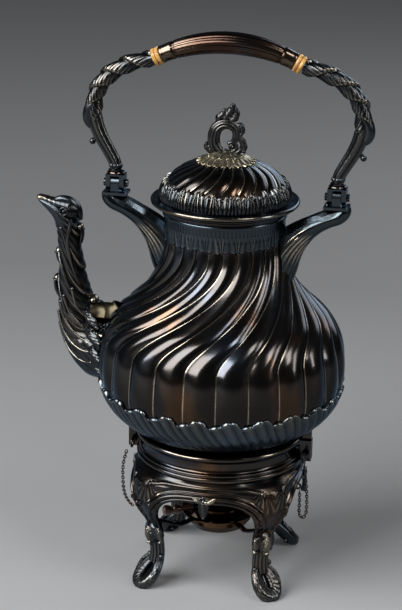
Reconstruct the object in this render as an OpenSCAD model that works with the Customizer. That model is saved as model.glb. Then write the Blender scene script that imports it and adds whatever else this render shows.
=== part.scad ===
// Spirit kettle on its stand: a swirl-fluted pear-shaped kettle that tips on a pierced four-legged stand,
// with a spirit lamp hung inside. Millimetres, +Z up, feet on z = 0, spout towards -X, front towards -Y.
// Shapes are drawn about the kettle's upright axis. on_table() and on_kettle() put them in the frame,
// whose origin lies under the middle of the whole outline, so the axis stands at x = axis_x.

/* [Kettle] */
// Radius of the belly at its widest
body_r = 93.4; // [88:0.2:96]
// Flutes round the body
lobes = 24; // [16:2:28]
// Depth of the creases between the flutes
flute_depth = 2.9; // [0.4:0.1:3.2]
// Turn of the flutes between belly and neck, in degrees
swirl = 62; // [0:1:80]
// Thickness of the body's wall
wall = 1.6; // [1.2:0.1:2]

/* [Lid] */
// Flutes round the lid
lid_lobes = 22; // [14:2:26]
// Turn of the lid's flutes, in degrees
lid_swirl = 24; // [0:1:40]

/* [Handle] */
// Half the distance between the handle's hinges
pivot_x = 82.4; // [81:0.2:84]
// Radius of the grip at its middle
grip_r = 8; // [6.5:0.25:9]

/* [Stand] */
// Height of the stand's lip above the table
stand_h = 117; // [113:1:121]
// Distance of the middle of each foot from the axis
foot_reach = 69; // [66:0.5:71]

/* [Lamp] */
// Radius of the spirit reservoir
lamp_r = 18; // [15:0.5:20]

/* [Hidden] */
axis_x = 17.7;
kettle_z = stand_h + 2;
front = -90;
run_gap = 0.05;
move_gap = 0.3;

// Kettle: [radius, height above the kettle's base]
body_outline = [[57, 0], [71, 7], [82, 16.5], [88.6, 27], [92.2, 39], [93.4, 52], [92, 66], [87.6, 78.5],
    [79.6, 90.5], [68.6, 100.5], [58.8, 110.5], [51.6, 121.5], [46.6, 133.5], [44, 146], [43, 157]];
neck_r = 43;
body_ref_r = 93.4;
lobe_steps = 6;
swirl_from = 70;
swirl_to = 144;
flute_foot = [30, 58];
flute_top = [150, 156];
// Gadroons under the belly, three to a lobe, below an edge that rises in a wave over each lobe
gadroon_rows = [[7, 0.5], [16.5, 0.9], [27, 1.2]];
gadroon_lean = 9;
gadroon_edge = 33;
edge_wave = 5;
edge_out = 1.3;
plain_h = 43;
// Fringe of leaves round the neck, under the rim
fringe_h = 148.6;
fringe_wave = 2.6;
fringe_out = 1;
fringe_top = 156.5;
floor_h = 2.2;
foot_ring_r = 50.5;
foot_ring_drop = 9;
spout_h = 57;
spout_bore_r = 12;

rim_outline = [[41.4, 157], [43.6, 157], [43.8, 166], [45.2, 167], [45.2, 169], [47.2, 170], [47.4, 172],
    [50, 173], [51, 174.6], [53.4, 175], [54.7, 176.2], [55, 177.4], [54.5, 178.4], [53.4, 178.8],
    [49.3, 178.8], [49.3, 177.6], [43.6, 177.6], [43.6, 171], [41.4, 168]];

// Handle brackets, from the hinge plate to the neck: [x, height, half depth, half width]
bracket_path = [[89.4, 174.8, 3.4, 6.8], [83.6, 172.2, 5.2, 7.6], [75, 168.4, 6.2, 8], [66, 162.4, 7.8, 8],
    [57, 156, 9.6, 8.4], [48.6, 147.4, 12.4, 9.2], [43, 138.6, 14.4, 10], [39, 130, 14.4, 10]];
plate_h = 178.4;
hinge_h = 184.6;
hinge_pin_r = 1.9;
hinge_lug_r = 5.2;
hinge_lug_w = 6;
knuckle_r = 5.5;
knuckle_out = 6.9;
knuckle_top = 191.6;

// Handle: the grip is an arc, and each arm runs from its collar to the grip's insulator
grip_arc_r = 112.7;
grip_mid_h = 293.2;
grip_end = 25.7;
insulator_end = 28.9;
insulator_r = 6.9;
arm_path = [[82.4, 195.8, 4.2], [84, 201.6, 4.3], [88.2, 209.5, 4.5], [93.2, 218.5, 4.8],
    [97.4, 229, 5.2], [99, 240.5, 5.4], [97.2, 251.5, 5.5], [91.3, 261.6, 5.6], [81.2, 270, 5.6],
    [68.5, 275.9, 5.4], [54.5, 279.2, 5]];

// Spout: [x, height, half depth, half width], and its bore
spout_path = [[-86, 55, 27, 24], [-94, 57, 26, 21.5], [-102, 62, 21.5, 17.5], [-108.5, 71, 17, 14.5],
    [-112, 82, 14.8, 12.8], [-113.8, 94, 12.6, 11.6], [-115.5, 108, 10.8, 10.4], [-117, 124, 8.9, 9],
    [-118.5, 140, 8.3, 8.3], [-120.4, 150.5, 8.6, 8], [-126.5, 158.5, 6.2, 6.6], [-133, 162.8, 4.4, 5.2],
    [-138.6, 166, 2.9, 3.9], [-142, 168, 1.5, 2.4]];
bore_path = [[-78, spout_h, spout_bore_r], [-98, 58.5, 12], [-108.4, 71, 10.4], [-113.2, 94, 8.6],
    [-116.6, 122, 6.6], [-118.6, 142, 5.6], [-124, 157, 4.2], [-132, 165.6, 3.4], [-143, 174, 3.2]];
spout_head = [-119, 160.2, 8.7];
spout_scrolls = [[-126.2, 129, 3.1], [-127.6, 107.5, 3.1], [-109.8, 148.6, 2.9], [-99.4, 92.2, 4.2]];
spout_leaf = [[-102, 83, 6, 8], [-95, 84.6, 5.4, 9.6], [-88.6, 86, 4, 9], [-83, 89.4, 2.2, 6.4],
    [-80, 92.4, 0.8, 2.4]];

// Lid: [radius, height above the kettle's base]
lid_outline = [[47.6, 179.3], [47.4, 184], [45.2, 189.6], [40.8, 195.2], [34.6, 200.4], [26.6, 204.4],
    [17, 207.4], [8, 208.8]];
lid_flute_foot = 190;
lid_wall = 1.3;
lid_flute = 1.9;
// Fringe of upright leaves round the lid's foot, three to a flute
lid_fringe_h = 189;
lid_fringe_wave = 3;
lid_fringe_out = 0.9;
lid_seat_r = 48.4;
lid_seat_h = 177.9;
lid_foot_h = 179.3;
lid_hinge_y = 57.8;
lid_hinge_h = 179.6;
lid_knuckle_r = 2.7;
lid_knuckle_half = 3;
lid_pin_r = 1.2;
rosette_outline = [[8.4, 208.4], [15, 207.2], [20.4, 205.9], [20.8, 207.2], [15.5, 209.4], [9, 211],
    [4, 211.8]];
stud_r = 1.6;
nut_h = [204.6, 207.5];
rosette_petals = 10;
finial_path = [[3.4, 210.8, 2.8], [-4, 212.4, 3.1], [-9, 217.4, 3.4], [-10.2, 224.6, 3.4], [-7.8, 231, 3.2],
    [-2.4, 234.6, 2.9], [3.6, 234.2, 2.7], [7.6, 230.4, 2.4], [7.8, 225, 2], [5.8, 221, 1.6]];
crest_path = [[-5, 235, 2, 2], [-1, 239.4, 2.4, 1.8], [2.4, 243.6, 1.9, 1.4], [4.6, 248.6, 0.6, 0.6]];
crest_leaves = [[[-3, 236, 1.8], [-6.4, 241.4, 0.5]], [[1, 238, 1.8], [-0.6, 246, 0.5]],
    [[6, 233, 1.9], [11, 236.4, 0.5]]];

// Stand: [radius, height under the lip], [height, radius] at mid face and at the corners
ring_outline = [[58.6, -22], [62.2, -22], [63.4, -20.8], [64, -19.2], [63.4, -17.6], [61.8, -17], [62.8, -16],
    [62.4, -14.8], [60.6, -14.2], [59.8, -12], [59.6, -9.6], [60, -7.2], [61, -5.4], [62.6, -4.6],
    [63.9, -3.4], [64.2, -2], [63.2, -0.6], [61, 0], [58.2, -0.8], [57.4, -3], [57.4, -20]];
face_radii = [[40, 52], [60, 59], [75, 62.6], [85, 63.4], [90, 63.2], [95, 62.2]];
corner_radii = [[40, 58.6], [47, 60], [53.5, 63.2], [60, 68], [68, 72], [76, 73.6], [83, 73.4], [88, 72],
    [91.5, 68.8], [95, 62.6]];
body_top = stand_h - 22;
body_wall = 2;
seat_inner_r = 46.5;
seat_drop = 7.3;
knee_h = 40;
arch_rise = 39;
arch_half = 37;
arch_square = 5;
arch_steps = 8;
corner_step = 42.2;
bead_rows = [[5.6, 0], [4.4, 1.7], [2.4, 2.3], [0.5, 1.5], [0, 0.4]];
pendant_path = [[63, 87, 1.4, 2.6], [65.4, 82.8, 2, 5.2], [66, 77.6, 2, 3.6], [65.2, 72.6, 1.5, 2.6],
    [64.4, 69, 0.6, 0.7]];
leg_path = [[57.6, 51, 3.6, 5.4], [59, 46.5, 5.8, 7.4], [59, 41, 6.2, 7.6], [57.6, 36, 5, 6.4],
    [56.6, 30, 4.7, 6], [56.4, 23, 4.8, 6.2], [57.6, 16.5, 5, 6.6]];
foot_tilt = 42;
foot_long = 12.8;
foot_wide = 7.3;
foot_flare = 0.2;
foot_set = 5.6;
foot_mid_h = 11.3;
foot_tube = [3.2, 4.6];
pad_r = 3.4;
pad_h = 2;

// Lugs and their pins, either side of the kettle
lug_x = 66.5;
lug_h = 101;
lug_pin_r = 1.5;
lug_eye_r = 4.2;
tongue_w = 3;
mouth_flare = 0.5;
cheek_w = 2.5;
slot_half = 1.8;
pin_back = 6;
pin_front = 9.5;
eye_ring_r = 3.2;
eye_wire = 0.8;

// Chains: centre lines from the pin's eye to the stand, and the size of a link
chain_left_path = [[-70.6, -13.4, 94.4], [-72.6, -16, 84], [-71, -24, 75.4], [-66.6, -36.4, 69],
    [-59.4, -47.6, 66.4], [-55.1, -50.7, 67]];
chain_right_path = [[67, -13.4, 94.6], [69.6, -14.6, 80], [70.6, -15.4, 66], [70.2, -15.8, 57],
    [67.6, -16, 53.4], [65.2, -16, 57], [65, -15.4, 68], [64.6, -13.8, 76.4]];
chain_left_flat = [0.94, 0.35, 0];
chain_right_flat = [0, 1, 0];
link_long = 2.2;
link_wide = 1.2;
link_wire = 0.4;
link_pitch = 3.15;
path_steps = 12;
staples = [[-52.7, -49.8, 68.4, 223], [62.8, -12.9, 78.2, -12]];
staple_r = 2.2;
staple_wire = 0.8;

// Lamp: [radius, height above the table]
dish_r = 27;
dish_rim = 47;
dish_floor = 33;
dish_wall = 1.4;
arm_half = [1.6, 2.6];
arm_reach = 60.8;
reservoir_floor = 36;
reservoir_top = 50.6;
burner_r = 5;
burner_foot = 44;
burner_top = 63;
wick_r = 3;
wick_foot = 38.4;
wick_top = 66;
lamp_handle_turn = 205;
lamp_handle_h = 51;
lamp_handle_outline = [[0, 21], [2.6, 21], [2.3, 23.4], [2.1, 26], [2.1, 29.4], [3.2, 31], [4.1, 33.2],
    [3.4, 35.4], [2.3, 37], [3.2, 38.6], [4.2, 40.8], [4, 43.2], [2.4, 44.8], [0, 45.2]];

silver = [0.52, 0.49, 0.45];
gilt = [0.72, 0.62, 0.42];
ivory = [0.88, 0.8, 0.62];
wood = [0.2, 0.12, 0.08];
cotton = [0.85, 0.82, 0.75];

// ---------- shared shapes ----------

function smoothstep(t) = let (c = min(max(t, 0), 1)) c * c * (3 - 2 * c);

function curve_point(a, b, c, d, t) =
    0.5 * (2 * b + (c - a) * t + (2 * a - 5 * b + 4 * c - d) * t * t + (3 * b - a - 3 * c + d) * t * t * t);

// A smooth curve through the points of p, with n steps between neighbours.
function smooth_path(p, n) = concat(
    [for (i = [0 : len(p) - 2]) for (k = [0 : n - 1])
        curve_point(p[max(i - 1, 0)], p[i], p[i + 1], p[min(i + 2, len(p) - 1)], k / n)],
    [p[len(p) - 1]]);

// One side of the mesh between two rings, as two triangles.
function quad(i, j, ni, nj) = let (a = i * nj + j, b = i * nj + (j + 1) % nj, c = ((i + 1) % ni) * nj)
    [[a, c + j, c + (j + 1) % nj], [a, c + (j + 1) % nj, b]];

// A closed solid through rings that all have the same number of points.
module skin(rings) {
    ni = len(rings);
    nj = len(rings[0]);
    sides = [for (i = [0 : ni - 2]) for (j = [0 : nj - 1]) each quad(i, j, ni, nj)];
    ends = [[for (j = [0 : nj - 1]) j], [for (j = [nj - 1 : -1 : 0]) (ni - 1) * nj + j]];
    polyhedron(points = [for (r = rings) each r], faces = concat(sides, ends), convexity = 8);
}

// The same without ends: the last ring joins the first.
module loop_skin(rings) {
    ni = len(rings);
    nj = len(rings[0]);
    sides = [for (i = [0 : ni - 1]) for (j = [0 : nj - 1]) each quad(i, j, ni, nj)];
    polyhedron(points = [for (r = rings) each r], faces = sides, convexity = 8);
}

// Rings along a path in the XZ plane; each station is [x, z, half depth, half width].
// ribs adds a rib to every second point, and turn twists the ring from station to station.
function sweep_rings(path, n, ribs = 0, turn = 0) = [for (i = [0 : len(path) - 1])
    let (p = path[i], a = path[max(i - 1, 0)], b = path[min(i + 1, len(path) - 1)],
        run = norm([b[0] - a[0], b[1] - a[1]]), tx = (b[0] - a[0]) / run, tz = (b[1] - a[1]) / run,
        wide = len(p) > 3 ? p[3] : p[2])
    [for (k = [0 : n - 1])
        let (t = 360 * k / n + turn * i, s = 1 + (k % 2 == 0 ? ribs : 0))
        [p[0] - tz * p[2] * s * cos(t), -wide * s * sin(t), p[1] + tx * p[2] * s * cos(t)]]];

module sweep(path, n, ribs = 0, turn = 0) {
    skin(sweep_rings(path, n, ribs, turn));
}

module on_table() {
    translate([axis_x, 0, 0]) children();
}

module on_kettle() {
    translate([axis_x, 0, kettle_z]) children();
}

module disc(r, from, to) {
    translate([0, 0, from]) cylinder(r = r, h = to - from, $fn = 64);
}

// A rod along X (from and to are x values) or along Y.
module rod_x(r, from, to) {
    translate([from, 0, 0]) rotate([0, 90, 0]) cylinder(r = r, h = to - from, $fn = 48);
}

module rod_y(r, from, to) {
    translate([0, from, 0]) rotate([-90, 0, 0]) cylinder(r = r, h = to - from, $fn = 48);
}

// A flat plate of thickness w, upright in the XZ plane.
module upright_plate(outline, w) {
    rotate([90, 0, 0]) linear_extrude(w, center = true) polygon(outline);
}

module revolve(outline) {
    rotate_extrude($fn = 96) polygon(outline);
}

// ---------- kettle ----------

function belly_r(r) = r + (body_r - body_ref_r) * max(r - neck_r, 0) / (body_ref_r - neck_r);

// Radius of the plain body at a height above the kettle's base.
function body_r_at(h) = belly_r(lookup(h, [for (p = body_outline) [p[1], p[0]]]));

function flute_at(h) = flute_depth * body_r_at(h) / body_ref_r
    * smoothstep((h - flute_foot[0]) / (flute_foot[1] - flute_foot[0]))
    * smoothstep((flute_top[1] - h) / (flute_top[1] - flute_top[0]));

function swirl_at(h) = swirl * smoothstep((h - swirl_from) / (swirl_to - swirl_from));

// The wave of an edge over one lobe, steeper on one side.
function wave_at(part) = pow(sin(180 * pow(part, 1.7)), 1.3);

// One ring of the fluted body; a crease lies between each pair of lobes. wave lifts the ring over each
// lobe, out carries it outwards, and rib stands every second point further out.
function body_ring(h, wave = 0, out = 0, rib = 0, turn = 0) = let (n = lobes * lobe_steps)
    [for (k = [0 : n - 1])
        let (part = (k % lobe_steps) / lobe_steps, u = abs(part - 0.5) * 2, z = h + wave * wave_at(part),
            a = 360 * (k / n - 0.5 / lobes) + swirl_at(z) + turn,
            r = body_r_at(z) - flute_at(z) * u * u + out + (k % 2 == 1 ? rib : 0))
        [r * cos(a), r * sin(a), z]];

module kettle_body() color(silver) on_kettle() {
    gadroons = [for (row = gadroon_rows)
        body_ring(row[0], rib = row[1], turn = gadroon_lean * (1 - row[0] / gadroon_edge))];
    edge = [body_ring(gadroon_edge, edge_wave, edge_out - 0.4, 0.8),
        body_ring(gadroon_edge + 0.7, edge_wave)];
    flutes = [for (p = body_outline) if (p[1] > plain_h && p[1] < fringe_h - 1) body_ring(p[1])];
    fringe = [body_ring(fringe_h, -fringe_wave),
        body_ring(fringe_h + 0.5, -fringe_wave, fringe_out - 0.4, 0.5),
        body_ring(fringe_top, 0, fringe_out - 0.4, 0.5)];
    hollow = [for (p = body_outline) if (p[1] > floor_h) [belly_r(p[0]) - wall - flute_at(p[1]), p[1]]];
    last = len(hollow) - 1;
    difference() {
        skin(concat([body_ring(0)], gadroons, edge, [body_ring(plain_h)], flutes, fringe,
            [body_ring(body_outline[14][1])]));
        rotate_extrude($fn = 180) polygon(concat([[0, floor_h], [body_outline[0][0], floor_h]], hollow,
            [[hollow[last][0], hollow[last][1] + 1], [0, hollow[last][1] + 1]]));
        translate([0, 0, spout_h]) rod_x(spout_bore_r, -belly_r(body_ref_r) - 2, -60);
    }
}

module kettle_foot_ring() color(silver) on_kettle() {
    revolve([[foot_ring_r - 2.5, -foot_ring_drop], [foot_ring_r, -foot_ring_drop], [foot_ring_r, 0],
        [foot_ring_r - 2.5, 0]]);
}

module rim_moulding() color(silver) on_kettle() {
    revolve(rim_outline);
}

module spout() color(silver) on_kettle() {
    difference() {
        union() {
            sweep(smooth_path(spout_path, 2), 12);
            sweep(spout_leaf, 8);
            translate([spout_head[0], 0, spout_head[1]]) sphere(r = spout_head[2], $fn = 32);
            for (s = spout_scrolls) translate([s[0], 0, s[1]]) sphere(r = s[2], $fn = 24);
        }
        sweep(smooth_path(bore_path, 2), 10);
    }
}

// The shape that a bracket is cut back to, a little under the skin of the neck.
module neck_core() {
    skin_cut = 0.8;
    revolve(concat([[0, 100]], [for (p = body_outline) if (p[1] > 100) [p[0] - skin_cut, p[1]]],
        [[neck_r - skin_cut, 180], [0, 180]]));
}

module handle_bracket(side) color(silver) on_kettle() {
    difference() {
        sweep([for (p = smooth_path(bracket_path, 2)) [side * p[0], p[1], p[2], p[3]]], 12);
        neck_core();
    }
    translate([side * pivot_x, 0, plate_h - 1]) cube([2 * knuckle_out + 4.6, 15, 2], center = true);
    difference() {
        union() {
            translate([side * pivot_x, 0, hinge_h]) rod_x(hinge_lug_r, -hinge_lug_w / 2, hinge_lug_w / 2);
            translate([side * pivot_x, 0, (plate_h + hinge_h) / 2 - 0.5])
                cube([hinge_lug_w, 2 * hinge_lug_r, hinge_h - plate_h + 1], center = true);
        }
        translate([side * pivot_x, 0, hinge_h]) rod_x(hinge_pin_r + run_gap, -5, 5);
    }
}

module handle_bracket_left() { handle_bracket(-1); }
module handle_bracket_right() { handle_bracket(1); }

module handle_pin(side) color(silver) on_kettle() {
    head = 1.8;
    translate([side * pivot_x, 0, hinge_h]) {
        rod_x(hinge_pin_r, -knuckle_out - 0.8, knuckle_out + 0.8);
        for (end = [-1, 1]) translate([end * (knuckle_out + move_gap + head / 2), 0, 0])
            rod_x(hinge_pin_r + 1, -head / 2, head / 2);
    }
}

module handle_pin_left() { handle_pin(-1); }
module handle_pin_right() { handle_pin(1); }

// The tongue under the belly that drops between the stand's cheeks. The left one turns on its pin;
// the right one's eye is open underneath, so that it lifts off its pin as the kettle tips.
module kettle_lug(side) color(silver) on_kettle() {
    eye_h = lug_h - kettle_z;
    difference() {
        union() {
            translate([side * lug_x, 0, eye_h]) rod_y(lug_eye_r, -tongue_w / 2, tongue_w / 2);
            upright_plate([[side * (lug_x - lug_eye_r), eye_h], [side * (lug_x + lug_eye_r), eye_h],
                [side * (lug_x + lug_eye_r), 7.2], [side * (lug_x - lug_eye_r), 3.4]], tongue_w);
        }
        translate([side * lug_x, 0, eye_h]) rod_y(lug_pin_r + run_gap, -tongue_w, tongue_w);
        if (side > 0) {
            slot = lug_pin_r + run_gap;
            mouth = lug_pin_r + mouth_flare;
            upright_plate([[lug_x - slot, eye_h], [lug_x + slot, eye_h], [lug_x + mouth, eye_h - 5],
                [lug_x - mouth, eye_h - 5]], 2 * tongue_w);
        }
    }
}

module kettle_lug_left() { kettle_lug(-1); }
module kettle_lug_right() { kettle_lug(1); }

module rim_hinge() color(silver) on_kettle() {
    difference() {
        for (side = [-1, 1]) translate([side * 6.2, lid_hinge_y, lid_hinge_h]) {
            rod_x(lid_knuckle_r, -2.9, 2.9);
            translate([0, -2.6, -2.6]) cube([5.8, 5.2, 4.4], center = true);
        }
        translate([0, lid_hinge_y, lid_hinge_h]) rod_x(lid_pin_r + run_gap, -10, 10);
    }
}

module lid_hinge_pin() color(silver) on_kettle() {
    translate([0, lid_hinge_y, lid_hinge_h]) rod_x(lid_pin_r, -9.6, 9.6);
}

// ---------- lid ----------

function lid_r_at(h) = lookup(h, [for (p = lid_outline) [p[1], p[0]]]);

function lid_flute_at(h) = lid_flute * smoothstep((h - lid_flute_foot) / 4) * smoothstep((208 - h) / 5);

function lid_ring(h, wave = 0, out = 0, rib = 0) = let (n = lid_lobes * lobe_steps) [for (k = [0 : n - 1])
    let (part = (k % lobe_steps) / lobe_steps, u = abs(part - 0.5) * 2, z = h + wave * wave_at(part),
        a = 360 * k / n + lid_swirl * smoothstep((z - 184) / 26),
        r = lid_r_at(z) - lid_flute_at(z) * u * u + out + (k % 2 == 1 ? rib : 0))
    [r * cos(a), r * sin(a), z]];

module lid_dome() color(silver) on_kettle() {
    last = len(lid_outline) - 1;
    fringe = [lid_ring(lid_foot_h + 0.7, 0, lid_fringe_out - 0.5, 0.5),
        lid_ring(lid_fringe_h, lid_fringe_wave, lid_fringe_out - 0.5, 0.5),
        lid_ring(lid_fringe_h + 0.5, lid_fringe_wave)];
    hollow = [for (i = [0 : last]) let (p = lid_outline[i], drop = i > 0 ? lid_wall : 0)
        [p[0] - lid_wall - lid_flute_at(p[1]), p[1] - drop * i / last]];
    difference() {
        skin(concat([lid_ring(lid_foot_h)], fringe, [for (i = [2 : last]) lid_ring(lid_outline[i][1])]));
        rotate_extrude($fn = 180) polygon(concat([[0, lid_foot_h - 1], [hollow[0][0], lid_foot_h - 1]],
            hollow, [[0, hollow[last][1]]]));
    }
}

module lid_seat() color(silver) on_kettle() {
    plug = [40, 41.6, 172.5];
    revolve([[plug[0], plug[2]], [plug[1], plug[2]], [plug[1], lid_seat_h], [lid_seat_r, lid_seat_h],
        [lid_seat_r, lid_foot_h], [plug[0], lid_foot_h]]);
}

module lid_hinge() color(silver) on_kettle() {
    strap = 1.5;
    strap_from = 45;
    difference() {
        union() {
            translate([0, lid_hinge_y, lid_hinge_h])
                rod_x(lid_knuckle_r, -lid_knuckle_half, lid_knuckle_half);
            translate([-lid_knuckle_half, strap_from, lid_foot_h])
                cube([2 * lid_knuckle_half, lid_hinge_y - strap_from, strap]);
        }
        translate([0, lid_hinge_y, lid_hinge_h]) rod_x(lid_pin_r + run_gap, -5, 5);
    }
}

module lid_rosette() color(gilt) on_kettle() {
    n = rosette_petals * 4;
    skin([for (p = rosette_outline) [for (k = [0 : n - 1])
        let (a = 360 * k / n, r = p[0] * (1 + 0.09 * cos(rosette_petals * a)))
        [r * cos(a), r * sin(a), p[1]]]]);
}

module finial() color(gilt) on_kettle() {
    disc(stud_r, nut_h[0] - 0.6, finial_path[0][1]);
    sweep(smooth_path(finial_path, 2), 8);
    sweep(smooth_path(crest_path, 2), 8);
    for (leaf = crest_leaves) sweep([leaf[0], leaf[1]], 6);
    translate([9.4, 0, 216.6]) rotate([90, 0, 0]) rotate_extrude($fn = 24)
        translate([3, 0]) circle(r = 1.6, $fn = 16);
    sweep([[3, 210.5, 2.2], [7.6, 213.4, 1.8], [11.6, 214, 1.4]], 8);
}

module finial_nut() color(silver) on_kettle() {
    difference() {
        translate([0, 0, nut_h[0]]) cylinder(r = 5, h = nut_h[1] - nut_h[0], $fn = 6);
        disc(stud_r, nut_h[0] - 1, nut_h[1] + 1);
    }
}

// ---------- handle ----------

module knuckle(side) color(silver) on_kettle() {
    slot = hinge_lug_w / 2 + move_gap + 0.2;
    roof = hinge_h + hinge_lug_r + 0.7;
    translate([side * pivot_x, 0, 0]) difference() {
        union() {
            translate([0, 0, hinge_h]) rod_x(knuckle_r, -knuckle_out, knuckle_out);
            translate([-knuckle_out, -knuckle_r, hinge_h])
                cube([2 * knuckle_out, 2 * knuckle_r, knuckle_top - hinge_h]);
        }
        translate([-slot, -10, hinge_h - 10]) cube([2 * slot, 20, roof - hinge_h + 10]);
        translate([0, 0, hinge_h]) rod_x(hinge_pin_r + run_gap, -10, 10);
    }
}

module handle_knuckle_left() { knuckle(-1); }
module handle_knuckle_right() { knuckle(1); }

module collar(side) color(silver) on_kettle() {
    translate([side * pivot_x, 0, knuckle_top])
        revolve([[0, 0], [5.6, 0], [6.5, 0.5], [6.7, 1.2], [6.2, 1.9], [5, 2.2], [5.6, 2.7], [5.6, 3.4],
            [4.6, 4.2], [0, 4.2]]);
}

module handle_collar_left() { collar(-1); }
module handle_collar_right() { collar(1); }

module handle_arm(side) color(silver) on_kettle() {
    path = [for (p = smooth_path(arm_path, 2)) [side * p[0], p[1], p[2], p[2]]];
    sweep(path, 12, 0.1, side * 8);
    leaf = [[98.4, 243, 5.4, 5], [100.8, 238, 5.4, 5.4], [101.4, 232, 5.2, 5], [99.6, 226.6, 4.4, 4]];
    sweep([for (p = leaf) [side * p[0], p[1], p[2], p[3]]], 10);
    sweep([[side * 94.6, 219, 2, 2], [side * 99, 215.6, 1.5, 1.5]], 8);
    translate([side * 100, 0, 214.8]) sphere(r = 2.3, $fn = 24);
}

module handle_arm_left() { handle_arm(-1); }
module handle_arm_right() { handle_arm(1); }

// Places a piece on the grip's arc, a degrees from its middle, with +Z along the arc towards its end.
module on_arc(side, a) {
    translate([side * grip_arc_r * sin(a), 0, grip_mid_h - grip_arc_r * (1 - cos(a))])
        rotate([0, side * (90 + a), 0]) children();
}

module insulator(side) color(ivory) on_kettle() {
    long = grip_arc_r * (insulator_end - grip_end) * PI / 180;
    on_arc(side, (grip_end + insulator_end) / 2) translate([0, 0, -long / 2])
        revolve([[0, 0], [5.6, 0], [6.6, 0.5], [insulator_r, long * 0.24], [6.6, long * 0.42],
            [5.8, long * 0.5], [6.6, long * 0.58], [insulator_r, long * 0.76], [6.6, long - 0.5],
            [5.6, long], [0, long]]);
}

module insulator_left() { insulator(-1); }
module insulator_right() { insulator(1); }

module grip() color(silver) on_kettle() {
    steps = 12;
    path = [for (i = [0 : steps])
        let (a = grip_end * (2 * i / steps - 1), r = 5.9 + (grip_r - 5.9) * cos(90 * a / grip_end))
        [grip_arc_r * sin(a), grip_mid_h - grip_arc_r * (1 - cos(a)), r, r]];
    sweep(path, 16);
}

// ---------- stand ----------

module stand_ring() color(silver) on_table() translate([0, 0, stand_h]) {
    difference() {
        revolve(ring_outline);
        for (side = [-1, 1]) translate([side * (lug_x - 1.2), 0, -10])
            cube([11, 2 * slot_half, 30], center = true);
    }
}

module kettle_seat() color(silver) on_table() {
    top = stand_h - seat_drop;
    revolve([[seat_inner_r, top - 2], [57.4, top - 2], [57.4, top], [seat_inner_r, top]]);
}

// Columns of one quarter of the stand's body: [angle from mid face, height of the lower edge].
function arch_columns() = concat(
    [[-45, knee_h], [-corner_step, knee_h]],
    [for (i = [-arch_steps : arch_steps]) let (u = 90 * i / arch_steps)
        [arch_half * sin(u), knee_h + arch_rise * sqrt(1 - pow(abs(sin(u)), arch_square))]],
    [[corner_step, knee_h]]);

// The body's outline is nearly round at mid face and swells at the four corners.
function shell_r(a, h) = let (w = pow(abs(sin(2 * a)), 3.2))
    lookup(h, face_radii) * (1 - w) + lookup(h, corner_radii) * w;

function shell_point(q, c, h, out) = let (a = c[0] + front + 90 * q, r = shell_r(c[0], h) + out)
    [r * cos(a), r * sin(a), h];

module stand_body() color(silver) on_table() {
    cols = arch_columns();
    edge = bead_rows[0][0];
    rows = [0, 0.14, 0.32, 0.52, 0.74, 1];
    outside = [for (t = rows) [for (q = [0 : 3]) for (c = cols)
        shell_point(q, c, body_top + (c[1] + edge - body_top) * t, 0)]];
    bead = [for (i = [1 : len(bead_rows) - 1]) [for (q = [0 : 3]) for (c = cols)
        shell_point(q, c, c[1] + bead_rows[i][0], bead_rows[i][1])]];
    inside = [for (t = [1, 0.5, 0]) [for (q = [0 : 3]) for (c = cols)
        shell_point(q, c, body_top + (c[1] - body_top) * t, -body_wall)]];
    rings = concat(outside, bead, inside);
    // The stack runs from the top down outside and back up inside, so each ring is turned over.
    loop_skin([for (r = rings) [for (k = [len(r) - 1 : -1 : 0]) r[k]]]);
}

module apron_pendants() color(gilt) on_table() {
    for (q = [0 : 3]) rotate([0, 0, 90 * q]) sweep(pendant_path, 8);
}

// The foot is an oval loop that leans outwards; at = 0 is its top, where the leg runs in.
function foot_rings(n, m) = [for (i = [0 : n - 1])
    let (at = 360 * i / n, up = cos(at), side = sin(at) * (1 - foot_flare * up),
        tube = foot_tube[0] + (foot_tube[1] - foot_tube[0]) * (1 - up) / 2)
    [for (k = [0 : m - 1])
        let (t = 360 * k / m, grow = tube * cos(t), thick = tube * sin(t),
            long = up * (foot_long + grow), y = side * foot_wide + sin(at) * grow)
        [foot_reach - foot_set - long * sin(foot_tilt) + thick * cos(foot_tilt), y,
            foot_mid_h + long * cos(foot_tilt) + thick * sin(foot_tilt)]]];

module leg(angle) color(silver) on_table() rotate([0, 0, angle]) {
    sweep(leg_path, 12, 0.1);
    translate([57.4, 7, 23]) sphere(r = 2.2, $fn = 24);
    difference() {
        union() {
            loop_skin(foot_rings(14, 8));
            translate([foot_reach, 0, 0]) cylinder(r1 = pad_r, r2 = pad_r + 0.6, h = pad_h, $fn = 48);
        }
        translate([foot_reach, 0, -5]) cube([60, 60, 10], center = true);
    }
}

module leg_front_left() { leg(-135); }
module leg_front_right() { leg(-45); }
module leg_rear_left() { leg(135); }
module leg_rear_right() { leg(45); }

module stand_lug(side) color(silver) on_table() {
    difference() {
        for (s = [-1, 1]) translate([side * lug_x, s * (slot_half + cheek_w / 2), 0]) {
            translate([0, 0, 103.6]) cube([9, cheek_w, 16.4], center = true);
            translate([-side * 3.4, 0, 101.4]) cube([7, cheek_w, 8], center = true);
        }
        translate([side * lug_x, 0, lug_h]) rod_y(lug_pin_r + run_gap, -10, 10);
        disc(59.8, 80, 120);
    }
}

module stand_lug_left() { stand_lug(-1); }
module stand_lug_right() { stand_lug(1); }

// A lug's pin: rod, shoulder and the ring-shaped head that its chain hangs from.
module lug_pin(side) color(silver) on_table() translate([side * lug_x, 0, lug_h]) {
    rod_y(lug_pin_r, -pin_front, pin_back);
    rod_y(lug_pin_r + 1, -pin_front, -pin_front + 2.4);
    translate([0, -pin_front - eye_ring_r + 0.4, 0]) rotate([0, 90, 0])
        rotate_extrude($fn = 32) translate([eye_ring_r, 0]) circle(r = eye_wire, $fn = 16);
}

module lug_pin_left() { lug_pin(-1); }
module lug_pin_right() { lug_pin(1); }

// ---------- chains ----------

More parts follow.
